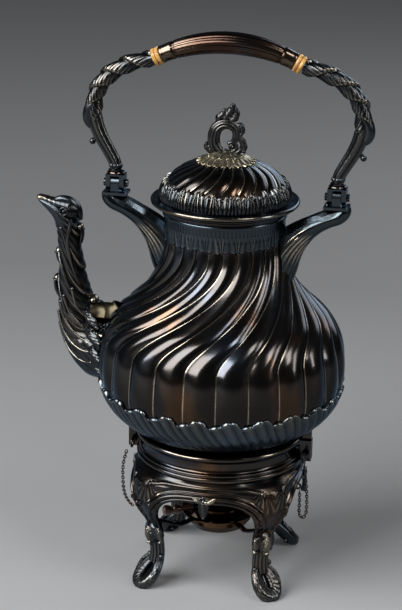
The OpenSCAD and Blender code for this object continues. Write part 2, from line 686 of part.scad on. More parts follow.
// One link: an oval wire of n by m facets about c, long along w and flat in the plane of w and u.
function link_rings(n, m, c, u, v, w) = [for (i = [0 : n - 1])
    let (t = 360 * i / n, x = link_wide * sin(t), z = -link_long * cos(t),
        o = [link_long * sin(t), -link_wide * cos(t)] / norm([link_long * sin(t), link_wide * cos(t)]))
    [for (k = [0 : m - 1]) let (a = 360 * k / m, out = link_wire * cos(a))
        c + u * (x + o[0] * out) - v * link_wire * sin(a) + w * (z + o[1] * out)]];

// Distance along the points of p up to each of them.
function lengths(p, i = 0, sum = 0) = i == len(p) ? [] : let (s = i == 0 ? 0 : sum + norm(p[i] - p[i - 1]))
    concat([s], lengths(p, i + 1, s));

// The place and direction a distance s along the points.
function at_length(p, d, s) = let (i = max([for (k = [0 : len(p) - 2]) if (d[k] <= s) k]),
        u = (s - d[i]) / (d[i + 1] - d[i]))
    [p[i] + (p[i + 1] - p[i]) * u, p[i + 1] - p[i]];

// Links strung along a path, each a quarter turn from the last. flat is the direction across the path
// that every second link lies in.
module chain(path, flat) {
    p = smooth_path(path, path_steps);
    d = lengths(p);
    count = floor(d[len(d) - 1] / link_pitch);
    for (i = [0 : count - 1]) {
        here = at_length(p, d, (i + 0.5) * link_pitch);
        w = here[1] / norm(here[1]);
        side = cross(w, flat);
        v = side / norm(side);
        u = cross(v, w);
        loop_skin(i % 2 == 0 ? link_rings(8, 3, here[0], u, v, w) : link_rings(8, 3, here[0], v, -u, w));
    }
}

module chain_left() color(silver) on_table() chain(chain_left_path, chain_left_flat);
module chain_right() color(silver) on_table() chain(chain_right_path, chain_right_flat);

module chain_staples() color(silver) on_table() {
    for (s = staples) translate([s[0], s[1], s[2]]) rotate([0, 0, s[3]]) rotate([90, 0, 0])
        rotate_extrude($fn = 32) translate([staple_r, 0]) circle(r = staple_wire, $fn = 16);
}

// ---------- lamp ----------

module lamp_dish() color(silver) on_table() {
    w = dish_wall;
    revolve([[0, dish_floor], [16, dish_floor], [22, dish_floor + 3.4], [25.4, dish_floor + 8.4],
        [26, dish_rim - 1], [dish_r + 1.6, dish_rim - 0.8], [dish_r + 1.6, dish_rim], [dish_r - w, dish_rim],
        [25.4 - w, dish_floor + 9], [21.4, dish_floor + 5], [15.6, dish_floor + w + 0.4],
        [0, dish_floor + w + 0.4]]);
}

module lamp_arms() color(silver) on_table() {
    path = [[25, dish_rim - 3], [36, dish_rim - 4.6], [50, dish_rim + 1.4], [arm_reach, dish_rim + 6]];
    for (q = [0 : 3]) rotate([0, 0, 45 + 90 * q])
        sweep([for (p = smooth_path(path, 2)) concat(p, arm_half)], 8);
}

module lamp_reservoir() color(silver) on_table() {
    r = lamp_r;
    low = reservoir_floor;
    revolve([[0, low], [r - 5, low], [r - 1.6, low + 2.6], [r, low + 7], [r, reservoir_top],
        [r - 1.4, reservoir_top], [r - 1.4, low + 7.4], [r - 2.8, low + 3.6], [r - 5.6, low + 1.4],
        [0, low + 1.4]]);
}

module lamp_cover() color(silver) on_table() {
    r = lamp_r;
    hole = burner_r + run_gap;
    top = reservoir_top;
    revolve([[hole, top + 6], [hole, top + 4.2], [r - 6, top + 2.8], [r - 1.6, top + 0.2], [r - 1.6, top],
        [r + 0.6, top], [r + 0.6, top + 1.2], [r - 3.6, top + 3.6], [hole + 3, top + 5.6],
        [hole + 2, top + 6.6], [hole, top + 6.6]]);
}

module burner_tube() color(silver) on_table() {
    bore = wick_r + run_gap;
    revolve([[bore, burner_foot], [burner_r, burner_foot], [burner_r, burner_top], [bore, burner_top]]);
}

module wick() color(cotton) on_table() {
    disc(wick_r, wick_foot, wick_top);
}

module on_lamp_handle() {
    on_table() rotate([0, 0, lamp_handle_turn]) translate([0, 0, lamp_handle_h]) rotate([0, 92.5, 0])
        children();
}

module lamp_ferrule() color(silver) on_lamp_handle() {
    revolve([[0, lamp_r - 0.6], [3.4, lamp_r - 0.6], [3, lamp_r + 1], [3.3, 21], [0, 21]]);
}

module lamp_handle() color(wood) on_lamp_handle() {
    revolve(lamp_handle_outline);
}

module snuffer_cap() color(silver) on_table() {
    r = burner_r + move_gap;
    low = burner_top - 5;
    revolve([[r, low], [r + 2.6, low], [r + 2.2, low + 2], [r + 1.2, low + 3], [r + 1.2, low + 8.4],
        [4, low + 11.2], [1.4, low + 12], [1.4, low + 13.6], [2.4, low + 15], [1.6, low + 16.6],
        [0, low + 17], [0, low + 9.4], [r - 0.4, low + 8.4], [r, low + 7]]);
}

stand_ring();
kettle_seat();
stand_body();
apron_pendants();
leg_front_left();
leg_front_right();
leg_rear_left();
leg_rear_right();
stand_lug_left();
stand_lug_right();
chain_staples();
chain_left();
chain_right();
lug_pin_left();
lug_pin_right();
lamp_dish();
lamp_arms();
lamp_reservoir();
lamp_cover();
burner_tube();
wick();
lamp_ferrule();
lamp_handle();
snuffer_cap();
kettle_body();
kettle_foot_ring();
rim_moulding();
spout();
kettle_lug_left();
kettle_lug_right();
handle_bracket_left();
handle_bracket_right();
handle_pin_left();
handle_pin_right();
rim_hinge();
lid_hinge_pin();
lid_seat();
lid_dome();
lid_hinge();
lid_rosette();
finial();
finial_nut();
handle_knuckle_left();
handle_knuckle_right();
handle_collar_left();
handle_collar_right();
handle_arm_left();
handle_arm_right();
insulator_left();
insulator_right();
grip();
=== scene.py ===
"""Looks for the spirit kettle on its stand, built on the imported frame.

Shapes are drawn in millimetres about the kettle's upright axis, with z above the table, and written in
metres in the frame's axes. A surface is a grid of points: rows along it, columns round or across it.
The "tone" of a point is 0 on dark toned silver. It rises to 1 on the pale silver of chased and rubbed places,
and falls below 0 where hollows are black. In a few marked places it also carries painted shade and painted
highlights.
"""
import math

import bpy
import numpy as np
from mathutils import Matrix, Vector


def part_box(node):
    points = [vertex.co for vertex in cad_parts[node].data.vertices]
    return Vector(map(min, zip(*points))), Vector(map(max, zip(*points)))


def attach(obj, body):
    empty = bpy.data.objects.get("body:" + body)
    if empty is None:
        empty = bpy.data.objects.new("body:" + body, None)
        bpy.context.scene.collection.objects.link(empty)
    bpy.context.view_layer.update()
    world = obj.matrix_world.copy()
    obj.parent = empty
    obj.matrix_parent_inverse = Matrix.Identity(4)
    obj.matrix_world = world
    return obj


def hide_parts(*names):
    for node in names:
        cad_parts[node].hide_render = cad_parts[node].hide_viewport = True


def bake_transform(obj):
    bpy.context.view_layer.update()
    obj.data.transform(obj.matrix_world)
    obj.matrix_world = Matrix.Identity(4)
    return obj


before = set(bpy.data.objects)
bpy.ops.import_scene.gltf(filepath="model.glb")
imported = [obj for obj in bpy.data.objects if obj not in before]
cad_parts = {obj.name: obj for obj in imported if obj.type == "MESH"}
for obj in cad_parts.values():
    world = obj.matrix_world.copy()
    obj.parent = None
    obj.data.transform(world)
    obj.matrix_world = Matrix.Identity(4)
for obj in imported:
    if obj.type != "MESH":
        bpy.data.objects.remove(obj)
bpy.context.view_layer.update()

MM = 0.001
TAU = 2 * math.pi


def node_box(node):
    """Lowest and highest corner of a CAD node, in millimetres."""
    low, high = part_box(node)
    return np.array(low) / MM, np.array(high) / MM


RIM_LOW, RIM_HIGH = node_box("rim_moulding")
AXIS_X = (RIM_LOW[0] + RIM_HIGH[0]) / 2
KETTLE_Z = node_box("kettle_body")[0][2]

# ---------- curves and grids ----------


def smooth(points, steps):
    """Catmull-Rom curve through the points, with a number of steps between neighbours."""
    p = np.array(points, float)
    out = []
    for i in range(len(p) - 1):
        a, b, c, d = p[max(i - 1, 0)], p[i], p[i + 1], p[min(i + 2, len(p) - 1)]
        for k in range(steps):
            t = k / steps
            out.append(0.5 * (2 * b + (c - a) * t + (2 * a - 5 * b + 4 * c - d) * t**2
                              + (3 * b - a - 3 * c + d) * t**3))
    out.append(p[-1])
    return np.array(out)


def ease(low, high, x):
    """0 up to low and 1 from high on, with a smooth rise between them; low may be the higher one."""
    t = np.clip((np.asarray(x, float) - low) / (high - low), 0, 1)
    return t * t * (3 - 2 * t)


def bump(x, centre, half):
    """1 at the centre, falling smoothly to nearly nothing two halves away."""
    return np.exp(-(((np.asarray(x, float) - centre) / half) ** 2))


def round_angles(count):
    """Evenly spaced angles round a circle, one to a column."""
    return TAU * np.arange(count)[None, :] / count


def fraction_along(path):
    """0 to 1 along a path, one to a row."""
    return np.linspace(0, 1, len(path))[:, None]


def in_plane(points, base=KETTLE_Z):
    """A path from [x, height, ...] points in the upright plane that faces the front."""
    return np.stack([points[:, 0], 0 * points[:, 0], points[:, 1] + base], 1)


def cylinder_points(radius, angle, height, base=KETTLE_Z):
    """Points from radius, angle in radians and height above the base; the three may be grids."""
    radius, angle, height = np.broadcast_arrays(radius, angle, height)
    return np.stack([radius * np.cos(angle), radius * np.sin(angle), height + base], -1)


def unit(v):
    return v / np.maximum(np.linalg.norm(v, axis=-1, keepdims=True), 1e-9)


def path_frames(path, across):
    """Tangent, side and normal at each point of a path; the sides stay close to the direction across."""
    tangent = unit(np.gradient(path, axis=0))
    side = np.broadcast_to(np.array(across, float), path.shape)
    side = unit(side - tangent * np.sum(side * tangent, axis=1, keepdims=True))
    return tangent, side, np.cross(tangent, side)


def tube(path, half_normal, half_side, sides, across=(0, 1, 0), relief=0):
    """Rows round a path, with relief added to both half widths."""
    path = np.array(path, float)
    _, side, normal = path_frames(path, across)
    angle = round_angles(sides)
    a = (np.reshape(half_normal, (-1, 1)) + relief) * np.cos(angle)
    b = (np.reshape(half_side, (-1, 1)) + relief) * np.sin(angle)
    return path[:, None, :] + a[:, :, None] * normal[:, None, :] + b[:, :, None] * side[:, None, :]


def pinched(rows):
    """The rows with both ends drawn together to a point, so that the surface is closed."""
    first = np.broadcast_to(rows[0].mean(0), rows[0].shape)
    last = np.broadcast_to(rows[-1].mean(0), rows[-1].shape)
    return np.concatenate([first[None], rows, last[None]])


def pinched_tone(tone, ends=0):
    """Tone for pinched rows: the ends have none, or with ends at 1 the tone of the row beside them."""
    return np.concatenate([tone[:1] * ends, tone, tone[-1:] * ends])


def lathe(outline, sides=192, base=KETTLE_Z):
    """Rows of a turned shape from an outline of [radius, height] points."""
    o = np.array(outline, float)
    return cylinder_points(o[:, :1], round_angles(sides), o[:, 1:], base)


def strand(points, steps, sides, reeds=0, depth=0.0):
    """A closed tube through [x, z, half depth, half width] points above the kettle's base."""
    p = smooth([[*q, q[2]][:4] for q in points], steps)
    relief = depth * (np.abs(np.cos(reeds * round_angles(sides) / 2)) - 0.6) if reeds else 0
    return pinched(tube(in_plane(p), p[:, 2], p[:, 3], sides, relief=relief))


def ball(centre, radius, squash=(1, 1, 1), rows_up=12, sides=24):
    """A closed ball or egg."""
    up = np.linspace(-np.pi / 2, np.pi / 2, rows_up)[:, None]
    p = cylinder_points(np.cos(up), round_angles(sides), np.sin(up), 0)
    return p * np.array(squash) * radius + np.array(centre, float)


def spiral(centre, start_r, end_r, turns, thick, thin, hand=1, begin=0.0):
    """A volute in an upright plane facing the front: a tube that winds in towards its centre."""
    steps, sides, deeper = 40, 12, 1.2
    t = np.linspace(0, 1, steps)
    r = start_r + (end_r - start_r) * t
    a = begin + hand * TAU * turns * t
    path = np.stack([r * np.cos(a), 0 * a, r * np.sin(a)], 1) + centre
    w = thick + (thin - thick) * t
    return pinched(tube(path, w, w * deeper, sides))


def split(grid):
    """Rows and tone of a grid, which is rows alone or a (rows, tone) pair."""
    rows, tone = grid if isinstance(grid, tuple) else (grid, 0)
    return rows, np.broadcast_to(tone, rows.shape[:2])


def turned(grids, degrees):
    """The grids turned about the kettle's axis."""
    c, s = math.cos(math.radians(degrees)), math.sin(math.radians(degrees))
    out = []
    for rows, tone in map(split, grids):
        x, y, z = rows[..., 0], rows[..., 1], rows[..., 2]
        out.append((np.stack([c * x - s * y, s * x + c * y, z], -1), tone))
    return out


def on_side(side, grids):
    """The grids as drawn for the right side, or mirrored for the left and wound to face outwards."""
    if side > 0:
        return grids
    return [((rows * np.array([-1, 1, 1]))[:, ::-1], tone[:, ::-1]) for rows, tone in map(split, grids)]


SIDES = ((-1, "left"), (1, "right"))
# Kinds of leaf: lobes, cup, height of the veins, columns, width at the tip and the root, and notch
LEAVES = {"rosette": (2, 0.3, 0.16, 25, 0.35, 0.4, 0.3), "finial": (3, 0.5, 0.35, 17, 0.15, 0.5, 0.45),
          "spout_cup": (2, 0.8, 0.22, 49, 0.6, 0.75, 0.18), "spout_root": (3, 0.3, 0.5, 21, 0.2, 0.5, 0.35),
          "pendant": (4, 0.3, 0.6, 33, 0.12, 0.6, 0.35), "wing": (3, 0.3, 0.4, 17, 0.2, 0.5, 0.35),
          "knee": (5, 0.5, 0.6, 33, 0.4, 0.7, 0.4), "knee_side": (4, 0.5, 0.5, 21, 0.35, 0.7, 0.4),
          "toe": (3, 0.3, 0.35, 17, 0.2, 0.5, 0.35)}


def leaf(kind, path, outward, half_width, gain=1.0, drop=0.0):
    """A chased leaf along a path, as (rows, tone), with its face outward and half_width at its widest."""
    lobes, cup, veins, across, tip, root, notch = LEAVES[kind]
    tangent, face, _ = path_frames(path, outward)
    side = np.cross(face, tangent)
    t = fraction_along(path)
    s = np.linspace(-1, 1, across)[None, :]
    out = np.abs(s)
    width = half_width * (root + (1 - root) * np.sin(np.pi * np.minimum(t * 1.25, 1) / 2))
    width = width * (1 - t**3 * (1 - tip))
    teeth = 1 - notch * np.abs(np.sin(np.pi * lobes * (t + 0.35 * out))) ** 3 * (1 - 0.6 * t)
    offset = s * width * (1 - (1 - teeth) * out**1.5)
    rib = 0.5 * bump(s, 0, 0.1)
    vein = np.cos(TAU * lobes * (t - 0.35 * out) * 1.5) * out**0.5 * (1 - out**4)
    lift = veins * (vein + rib * 2) - cup * half_width * s**2
    rows = path[:, None, :] + offset[..., None] * side[:, None, :] + lift[..., None] * face[:, None, :]
    return rows, gain * np.clip(0.45 + 0.4 * vein + 0.5 * rib - 0.3 * s**2, 0, 1) - drop


def leaf_pair(kind, path, outward, half_width, gain, drop, shift=(0, 0, 0)):
    """A leaf drawn at positive y and its mirror image in y, both moved by the shift."""
    grids = []
    for side in (-1, 1):
        flip = np.array([1, side, 1])
        rows, tone = leaf(kind, path * flip, outward * flip, half_width, gain, drop)
        grids.append((rows + shift * flip, tone))
    return grids


def metres(point):
    """A point about the axis, in metres in the frame's axes."""
    return [(point[0] + AXIS_X) * MM, point[1] * MM, point[2] * MM]


def new_object(name, data):
    obj = bpy.data.objects.new(name, data)
    bpy.context.scene.collection.objects.link(obj)
    return obj


def piece(name, grids, material, body, nodes=(), closed=True, thickness=0):
    """One object from grids in millimetres about the axis, which replaces the nodes. In a closed one each row
    meets its own start. body is a body's name, or (body, body, start, end) for a piece between two bodies,
    which is baked in place and attached to neither; the four values in it are not used. thickness is for open
    leaves."""
    verts, faces, tones = [], [], []
    start = 0
    for rows, tone in map(split, grids):
        ni, nj = rows.shape[:2]
        i, j = np.meshgrid(np.arange(ni - 1), np.arange(nj if closed else nj - 1), indexing="ij")
        nxt = (j + 1) % nj
        quads = np.stack([i * nj + j, i * nj + nxt, (i + 1) * nj + nxt, (i + 1) * nj + j], -1)
        faces.append(quads.reshape(-1, 4) + start)
        verts.append(rows.reshape(-1, 3))
        tones.append(tone.reshape(-1))
        start += ni * nj
    points = (np.concatenate(verts) + [AXIS_X, 0, 0]) * MM
    mesh = bpy.data.meshes.new(name)
    mesh.from_pydata(points.tolist(), [], np.concatenate(faces).tolist())
    values = np.concatenate(tones).astype(np.float32)
    mesh.attributes.new("tone", "FLOAT", "POINT").data.foreach_set("value", values)
    mesh.polygons.foreach_set("use_smooth", [True] * len(mesh.polygons))
    mesh.materials.append(material)
    mesh.validate()
    obj = new_object(name, mesh)
    if thickness:
        solid = obj.modifiers.new("thickness", "SOLIDIFY")
        solid.thickness = thickness * MM
        solid.offset = -1
    if isinstance(body, tuple):
        first, second, start, end = body
        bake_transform(obj)
    else:
        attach(obj, body)
    if nodes:
        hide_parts(*nodes)


def leafed_piece(name, forms, leaves, material, body, node, thickness):
    """Closed forms that replace a node, and beside them a piece of open leaves."""
    piece(name, forms, material, body, [node])
    piece(name + "_leaves", leaves, material, body, closed=False, thickness=thickness)


# ---------- materials ----------


def new_material(name):
    mat = bpy.data.materials.new(name)
    mat.use_nodes = True
    return mat, mat.node_tree, mat.node_tree.nodes["Principled BSDF"]


def feed(tree, made, inputs):
    """Gives a node its inputs: a socket is linked, and a number or colour is set."""
    for key, value in inputs.items():
        if isinstance(value, bpy.types.NodeSocket):
            tree.links.new(value, made.inputs[key])
        else:
            made.inputs[key].default_value = value


def node(tree, kind, inputs=None, **settings):
    made = tree.nodes.new(kind)
    for key, value in settings.items():
        setattr(made, key, value)
    feed(tree, made, inputs or {})
    return made


def maths(tree, operation, first, second):
    return node(tree, "ShaderNodeMath", {0: first, 1: second}, operation=operation).outputs[0]


def object_point(tree):
    return node(tree, "ShaderNodeTexCoord").outputs["Object"]


def noise(tree, scale, detail=3.0, stretch=(1, 1, 1)):
    """A noise value in the object's own space; scale is per metre, and stretch lengthens it along an axis."""
    inputs = {"Vector": object_point(tree), "Scale": [1 / s for s in stretch]}
    place = node(tree, "ShaderNodeMapping", inputs).outputs["Vector"]
    inputs = {"Vector": place, "Scale": scale, "Detail": detail}
    return node(tree, "ShaderNodeTexNoise", inputs).outputs["Fac"]


def ramp(tree, value, stops):
    made = node(tree, "ShaderNodeValToRGB", {"Fac": value})
    elements = made.color_ramp.elements
    while len(elements) < len(stops):
        elements.new(0.5)
    for element, (place, colour) in zip(elements, stops):
        element.position = place
        element.color = (*colour, 1)
    return made.outputs["Color"]


def mix(tree, factor, first, second):
    """The first colour at factor 0, and the second at 1."""
    made = node(tree, "ShaderNodeMix", data_type="RGBA")
    used = [index for index, socket in enumerate(made.inputs) if socket.enabled]
    first, second = (c if isinstance(c, bpy.types.NodeSocket) else (*c, 1) for c in (first, second))
    feed(tree, made, dict(zip(used, (factor, first, second))))
    return [socket for socket in made.outputs if socket.enabled][0]


def scaled(tree, value, low, high, start=0.0, end=1.0):
    """A value between start and end, carried to the range low to high."""
    inputs = {"Value": value, "From Min": start, "From Max": end, "To Min": low, "To Max": high}
    return node(tree, "ShaderNodeMapRange", inputs).outputs["Result"]


def raised(tree, shader, height, strength, distance):
    """Gives the shader a normal from a height."""
    made = node(tree, "ShaderNodeBump", {"Height": height, "Strength": strength, "Distance": distance})
    tree.links.new(made.outputs["Normal"], shader.inputs["Normal"])


# Black of the hollows, and of the painted shade on the lower belly.
SOOT_AND_SHADE = (0.012, 0.011, 0.01)
PALE = (0.56, 0.48, 0.36)


def toned_silver(name, brown, black, blue, rough, pale=PALE, scratch=0.02):
    """Polished silver under an uneven dark tone, which turns to pale or to soot with the points' own tone.
    Where that tone is painted shade or a painted highlight, the colour here paints it.
    """
    mat, tree, shader = new_material(name)
    stops = [(0.3, blue), (0.47, black), (0.56, black), (0.74, brown)]
    patches = ramp(tree, noise(tree, 22, 4, (1, 1, 2.2)), stops)
    own = node(tree, "ShaderNodeAttribute", attribute_name="tone").outputs["Fac"]
    mottled = ramp(tree, noise(tree, 420, 5), [(0.25, tuple(0.45 * c for c in pale)), (0.6, pale)])
    hollow = scaled(tree, own, 0, 1, end=-1)
    colour = mix(tree, hollow, mix(tree, own, patches, mottled), SOOT_AND_SHADE)
    feed(tree, shader, {"Base Color": colour, "Roughness": scaled(tree, noise(tree, 90, 6), *rough),
                        "Metallic": 1, "Specular Tint": (0.66, 0.77, 0.9, 1)})
    raised(tree, shader, noise(tree, 1500, 2, (1, 1, 9)), scratch, 0.0004)
    return mat


def ivory_material():
    mat, tree, shader = new_material("ivory")
    stops = [(0.3, (0.15, 0.07, 0.015)), (0.55, (0.36, 0.19, 0.05)), (0.8, (0.48, 0.31, 0.11))]
    feed(tree, shader, {"Base Color": ramp(tree, noise(tree, 700, 3, (6, 1, 1)), stops),
                        "Roughness": scaled(tree, noise(tree, 300), 0.25, 0.42),
                        "Subsurface Weight": 0.15, "Subsurface Radius": (0.003, 0.002, 0.001)})
    return mat


def wood_material():
    mat, tree, shader = new_material("dark_wood")
    grain = noise(tree, 160, 6, (8, 4, 1))
    stops = [(0.35, (0.03, 0.012, 0.006)), (0.6, (0.14, 0.05, 0.02)), (0.8, (0.22, 0.09, 0.035))]
    feed(tree, shader, {"Base Color": ramp(tree, grain, stops), "Coat Weight": 0.4,
                        "Roughness": scaled(tree, noise(tree, 500), 0.25, 0.4)})
    raised(tree, shader, grain, 0.1, 0.0005)
    return mat


def cotton_material():
    mat, tree, shader = new_material("cotton")
    inputs = {"Scale": 900.0, "Distortion": 2.0, "Detail": 2.0, "Vector": object_point(tree)}
    weave = node(tree, "ShaderNodeTexWave", inputs).outputs["Fac"]
    stops = [(0.2, (0.5, 0.46, 0.38)), (0.7, (0.8, 0.77, 0.7))]
    feed(tree, shader, {"Base Color": ramp(tree, weave, stops), "Roughness": 0.9})
    raised(tree, shader, weave, 0.6, 0.0006)
    return mat


SILVER = toned_silver("toned_silver", (0.155, 0.078, 0.036), (0.042, 0.038, 0.036), (0.05, 0.064, 0.086),
                      (0.14, 0.22))
STEEL = toned_silver("toned_silver_blue", (0.062, 0.061, 0.058), (0.047, 0.058, 0.067), (0.06, 0.083, 0.11),
                     (0.18, 0.3))
TEAL = toned_silver("horn_silver", (0.045, 0.054, 0.06), (0.036, 0.045, 0.05), (0.048, 0.07, 0.084),
                    (0.12, 0.2))
CHASED = toned_silver("chased_silver", (0.072, 0.061, 0.051), (0.037, 0.041, 0.044), (0.047, 0.06, 0.073),
                      (0.18, 0.3), scratch=0.25)
# A paler copy of the toned silver for the rosette and the pendants: painted highlight on the same silver.
PALE_HIGHLIGHT_SILVER = toned_silver("pale_silver_painted_highlight", (0.24, 0.19, 0.11), (0.13, 0.11, 0.07), (0.16, 0.15, 0.12),
                      (0.25, 0.4), (0.62, 0.55, 0.4), 0.05)
OLIVE = toned_silver("olive_silver", (0.1, 0.075, 0.036), (0.045, 0.038, 0.022), (0.07, 0.06, 0.038),
                     (0.3, 0.42))
GREY = toned_silver("grey_silver", (0.1, 0.09, 0.078), (0.042, 0.042, 0.043), (0.064, 0.072, 0.08),
                    (0.18, 0.3), (0.5, 0.48, 0.42))
PANEL = toned_silver("stand_silver", (0.1, 0.06, 0.033), (0.036, 0.033, 0.031), (0.05, 0.062, 0.08),
                     (0.16, 0.28))
# A warmer, browner copy of the toned silver for the lamp: painted reflection of orange-brown glints under the
# stand.
WARM_GLINT_SILVER = toned_silver("warm_silver_painted_glints", (0.165, 0.088, 0.041), (0.066, 0.041, 0.025), (0.055, 0.047, 0.039),
                       (0.15, 0.26))
GRIP = toned_silver("grip_silver", (0.12, 0.042, 0.018), (0.04, 0.023, 0.017), (0.04, 0.037, 0.037),
                    (0.12, 0.24))
IVORY = ivory_material()
WOOD = wood_material()
COTTON = cotton_material()

# ---------- kettle ----------

BODY_OUTLINE = [[57, 0], [71, 7], [82, 16.5], [88.6, 27], [92.2, 39], [93.4, 52], [92, 66], [87.6, 78.5],
                [79.6, 90.5], [68.6, 100.5], [58.8, 110.5], [51.6, 121.5], [46.6, 133.5], [44, 146],
                [43, 157]]
BODY_WIDEST, NECK_TOP = 93.4, 157
LOBES, PER_LOBE = 24, 18
SWIRL = 62
SWIRL_FROM, SWIRL_TO = 70, 144
LOBE_DEPTH = 3.1
WALL = 2.0
CREASE_HALF = 0.55
body_curve = smooth(BODY_OUTLINE, 10)


def body_radius(height):
    """Radius of the plain body at a height above the kettle's base."""
    return np.interp(height, body_curve[:, 1], body_curve[:, 0])


def lobe_columns(count):
    """Distance from the nearer crease, in lobes, and angle of each column. Columns crowd at the creases."""
    u = np.arange(PER_LOBE) / PER_LOBE
    across = np.tile(u - 0.8 * np.sin(TAU * u) / TAU, count)[None, :]
    lobe = np.repeat(np.arange(count), PER_LOBE)[None, :]
    return np.minimum(across, 1 - across), TAU * (lobe + across - 0.5) / count


def crease_line(near, radius, count):
    """1 on the fine line in each crease, 0 away from it."""
    return bump(near * TAU * radius / count, 0, CREASE_HALF)


def fluted_body():
    """The body: convex lobes with a fine raised line in each crease, and a plain inside."""
    height, radius = body_curve[:, 1][:, None], body_curve[:, 0][:, None]
    near, angle = lobe_columns(LOBES)
    angle = angle + np.radians(SWIRL * ease(SWIRL_FROM, SWIRL_TO, height))
    depth = LOBE_DEPTH * ease(24, 60, height) * (0.25 + 0.75 * radius / BODY_WIDEST)
    depth = depth + 0.5 * ease(14, 30, height)
    drop = depth * (1 - 2 * near) ** 2
    line = crease_line(near, radius, LOBES) * ease(24, 40, height)
    outside = cylinder_points(radius - drop + 0.35 * line, angle, height)
    inner = body_curve[::-3]
    inside = cylinder_points(inner[:, :1] - WALL - LOBE_DEPTH, angle[:1], np.maximum(inner[:, 1:], WALL))
    centre = cylinder_points(0, angle[:1], WALL)
    under = cylinder_points(0, angle[:1], 0)
    rows = np.concatenate([under, outside, inside, centre])
    # Pale on the crease lines, paler lower down. Between them the belly is painted darker from about 72 mm
    # down: painted shade where it turns under.
    pale = line * (0.36 + 0.3 * ease(88, 52, height)) - 0.55 * (1 - line) * ease(72, 44, height)
    tone = np.zeros(rows.shape[:2])
    tone[1 : 1 + len(outside)] = pale
    return rows, tone


def gadroon_band():
    """The slanting gadroons under the belly, three to a lobe, below an edge like a row of waves."""
    per_lobe, rows_down, slant, low = 36, 40, 9, 4.5
    place = np.arange(per_lobe * LOBES)[None, :] / per_lobe
    phase = place % 1
    down = np.linspace(0, 1, rows_down)[:, None]
    rib = np.abs(np.sin(3 * np.pi * phase))
    edge = 32.6 + 5.2 * np.sin(np.pi * phase**1.7) ** 1.3 + 1.1 * rib
    height = edge + (low - edge) * down
    angle = TAU * place / LOBES + np.radians(slant) * (down - 0.3) + np.radians(180 / LOBES)
    lip = bump(down, 0.05, 0.03)
    furrow = bump(down, 0.13, 0.035)
    proud = 0.3 + 1.7 * rib**0.8 * (1 - 0.45 * down) + 0.5 * lip * (1 - rib) - 0.5 * furrow * rib
    proud = np.where(down == 0, -0.8, proud)
    tone = 0.1 * lip + 0.08 * rib**6 * (1 - down) - 0.6 * (1 - rib) ** 2 * (1 - lip)
    return cylinder_points(body_radius(height) + proud, angle, height), tone


def fringe(radius_at, low, high, count, repeats, proud, scallop, up):
    """A band of narrow upright leaves. low and high are heights, and the scalloped edge is on top if up."""
    per, steps = 10, 22
    place = np.arange(count * per)[None, :] / per
    v = np.linspace(0, 1, steps)[:, None]
    wave = np.abs(np.sin(np.pi * place * repeats / count))
    uneven = np.repeat(np.modf(np.abs(np.sin(12.99 * np.arange(count)) * 43758.5))[0], per)[None, :]
    rib = np.abs(np.sin(np.pi * place))
    jag = (0.4 + 0.4 * uneven) * rib + 0.4 * wave
    free = (high + scallop * jag) if up else (low - scallop * jag)
    fixed = low if up else high
    height = free + (fixed - free) * v
    lean = 0.7 * np.sin(TAU * place * repeats / count) * (1 - v)
    angle = TAU * (place + lean) / count
    curl = bump(v, 0.1, 0.09)
    out = proud * (0.35 + 0.65 * rib * ease(0, 0.15, v)) + 0.45 * proud * curl * (0.4 + 0.6 * wave)
    out = np.where(v == 0, -0.6, out)
    tone = 0.4 * (uneven - 0.45) * rib**4 * bump(v, 0.45, 0.45) + 0.1 * curl
    tone = tone - 0.9 * (1 - rib) ** 1.5 * ease(0.05, 0.2, v)
    return cylinder_points(radius_at(height) + out, angle, height), tone


def neck_radius(height):
    return body_radius(height) + 1.1 * ease(149, 156, height)


RIM_OUTLINE = [[43.2, 156], [44, 158], [44.2, 166], [45.6, 166.8], [45.9, 168], [45.4, 169.2], [46.6, 169.8],
               [47.6, 170.8], [47.6, 172], [49.6, 172.6], [50.6, 173.4], [51.2, 174.6], [53.2, 175],
               [54.6, 175.9], [55.1, 177.2], [54.6, 178.3], [53.4, 178.8], [50.6, 178.5], [49.3, 178.6],
               [49.2, 177.6], [43.6, 177.6], [43.4, 171], [41.3, 168], [41.3, 157]]
RIM_EDGE = 55.1
NECK_OUTLINE = [[43.9, 157], [44.5, 158.4], [44.6, 165], [45.9, 166.6], [46.2, 168], [45.6, 169.4],
                [43.9, 169.6]]
NECK_FLUTED_ROWS = [0, 1, 1, 0, 0, 0, 0]
NECK_FLUTES, PER_FLUTE = 96, 10


def rim():
    """The rim's mouldings, paler along the lip as a painted highlight."""
    outline = smooth(RIM_OUTLINE, 3)
    return lathe(outline), 0.22 * bump(outline[:, :1], RIM_EDGE, 0.35)


def neck():
    """The band under the rim, with fine upright flutes."""
    rows = lathe(NECK_OUTLINE, NECK_FLUTES * PER_FLUTE)
    flute = np.abs(np.cos(NECK_FLUTES / 2 * round_angles(NECK_FLUTES * PER_FLUTE)))
    flute = flute * np.array(NECK_FLUTED_ROWS)[:, None]
    rows[..., :2] *= (1 + 0.006 * flute)[..., None]
    return rows, -0.5 * (1 - flute) * (flute > 0)


piece("body_fluted", [fluted_body()], SILVER, "kettle", ["kettle_body"])
piece("body_gadroons", [gadroon_band()], STEEL, "kettle")
piece("neck_fringe", [fringe(neck_radius, 150.4, 161, 96, 24, 0.8, 3.0, False)], STEEL, "kettle")
piece("rim", [rim()], SILVER, "kettle", ["rim_moulding"])
piece("neck_fluted", [neck()], STEEL, "kettle")

# ---------- lid ----------

LID_OUTLINE = [[47.6, 179.3], [47.4, 184], [45.2, 189.6], [40.8, 195.2], [34.6, 200.4], [26.6, 204.4],
               [17, 207.4], [8, 208.8]]
LID_LOBES = 22
LID_SWIRL = 24
LID_LOW, LID_TOP, LID_UNDER = 179.3, 209.2, 206.2
lid_curve = smooth(LID_OUTLINE, 8)


def lid_radius(height):
    return np.interp(height, lid_curve[:, 1], lid_curve[:, 0])


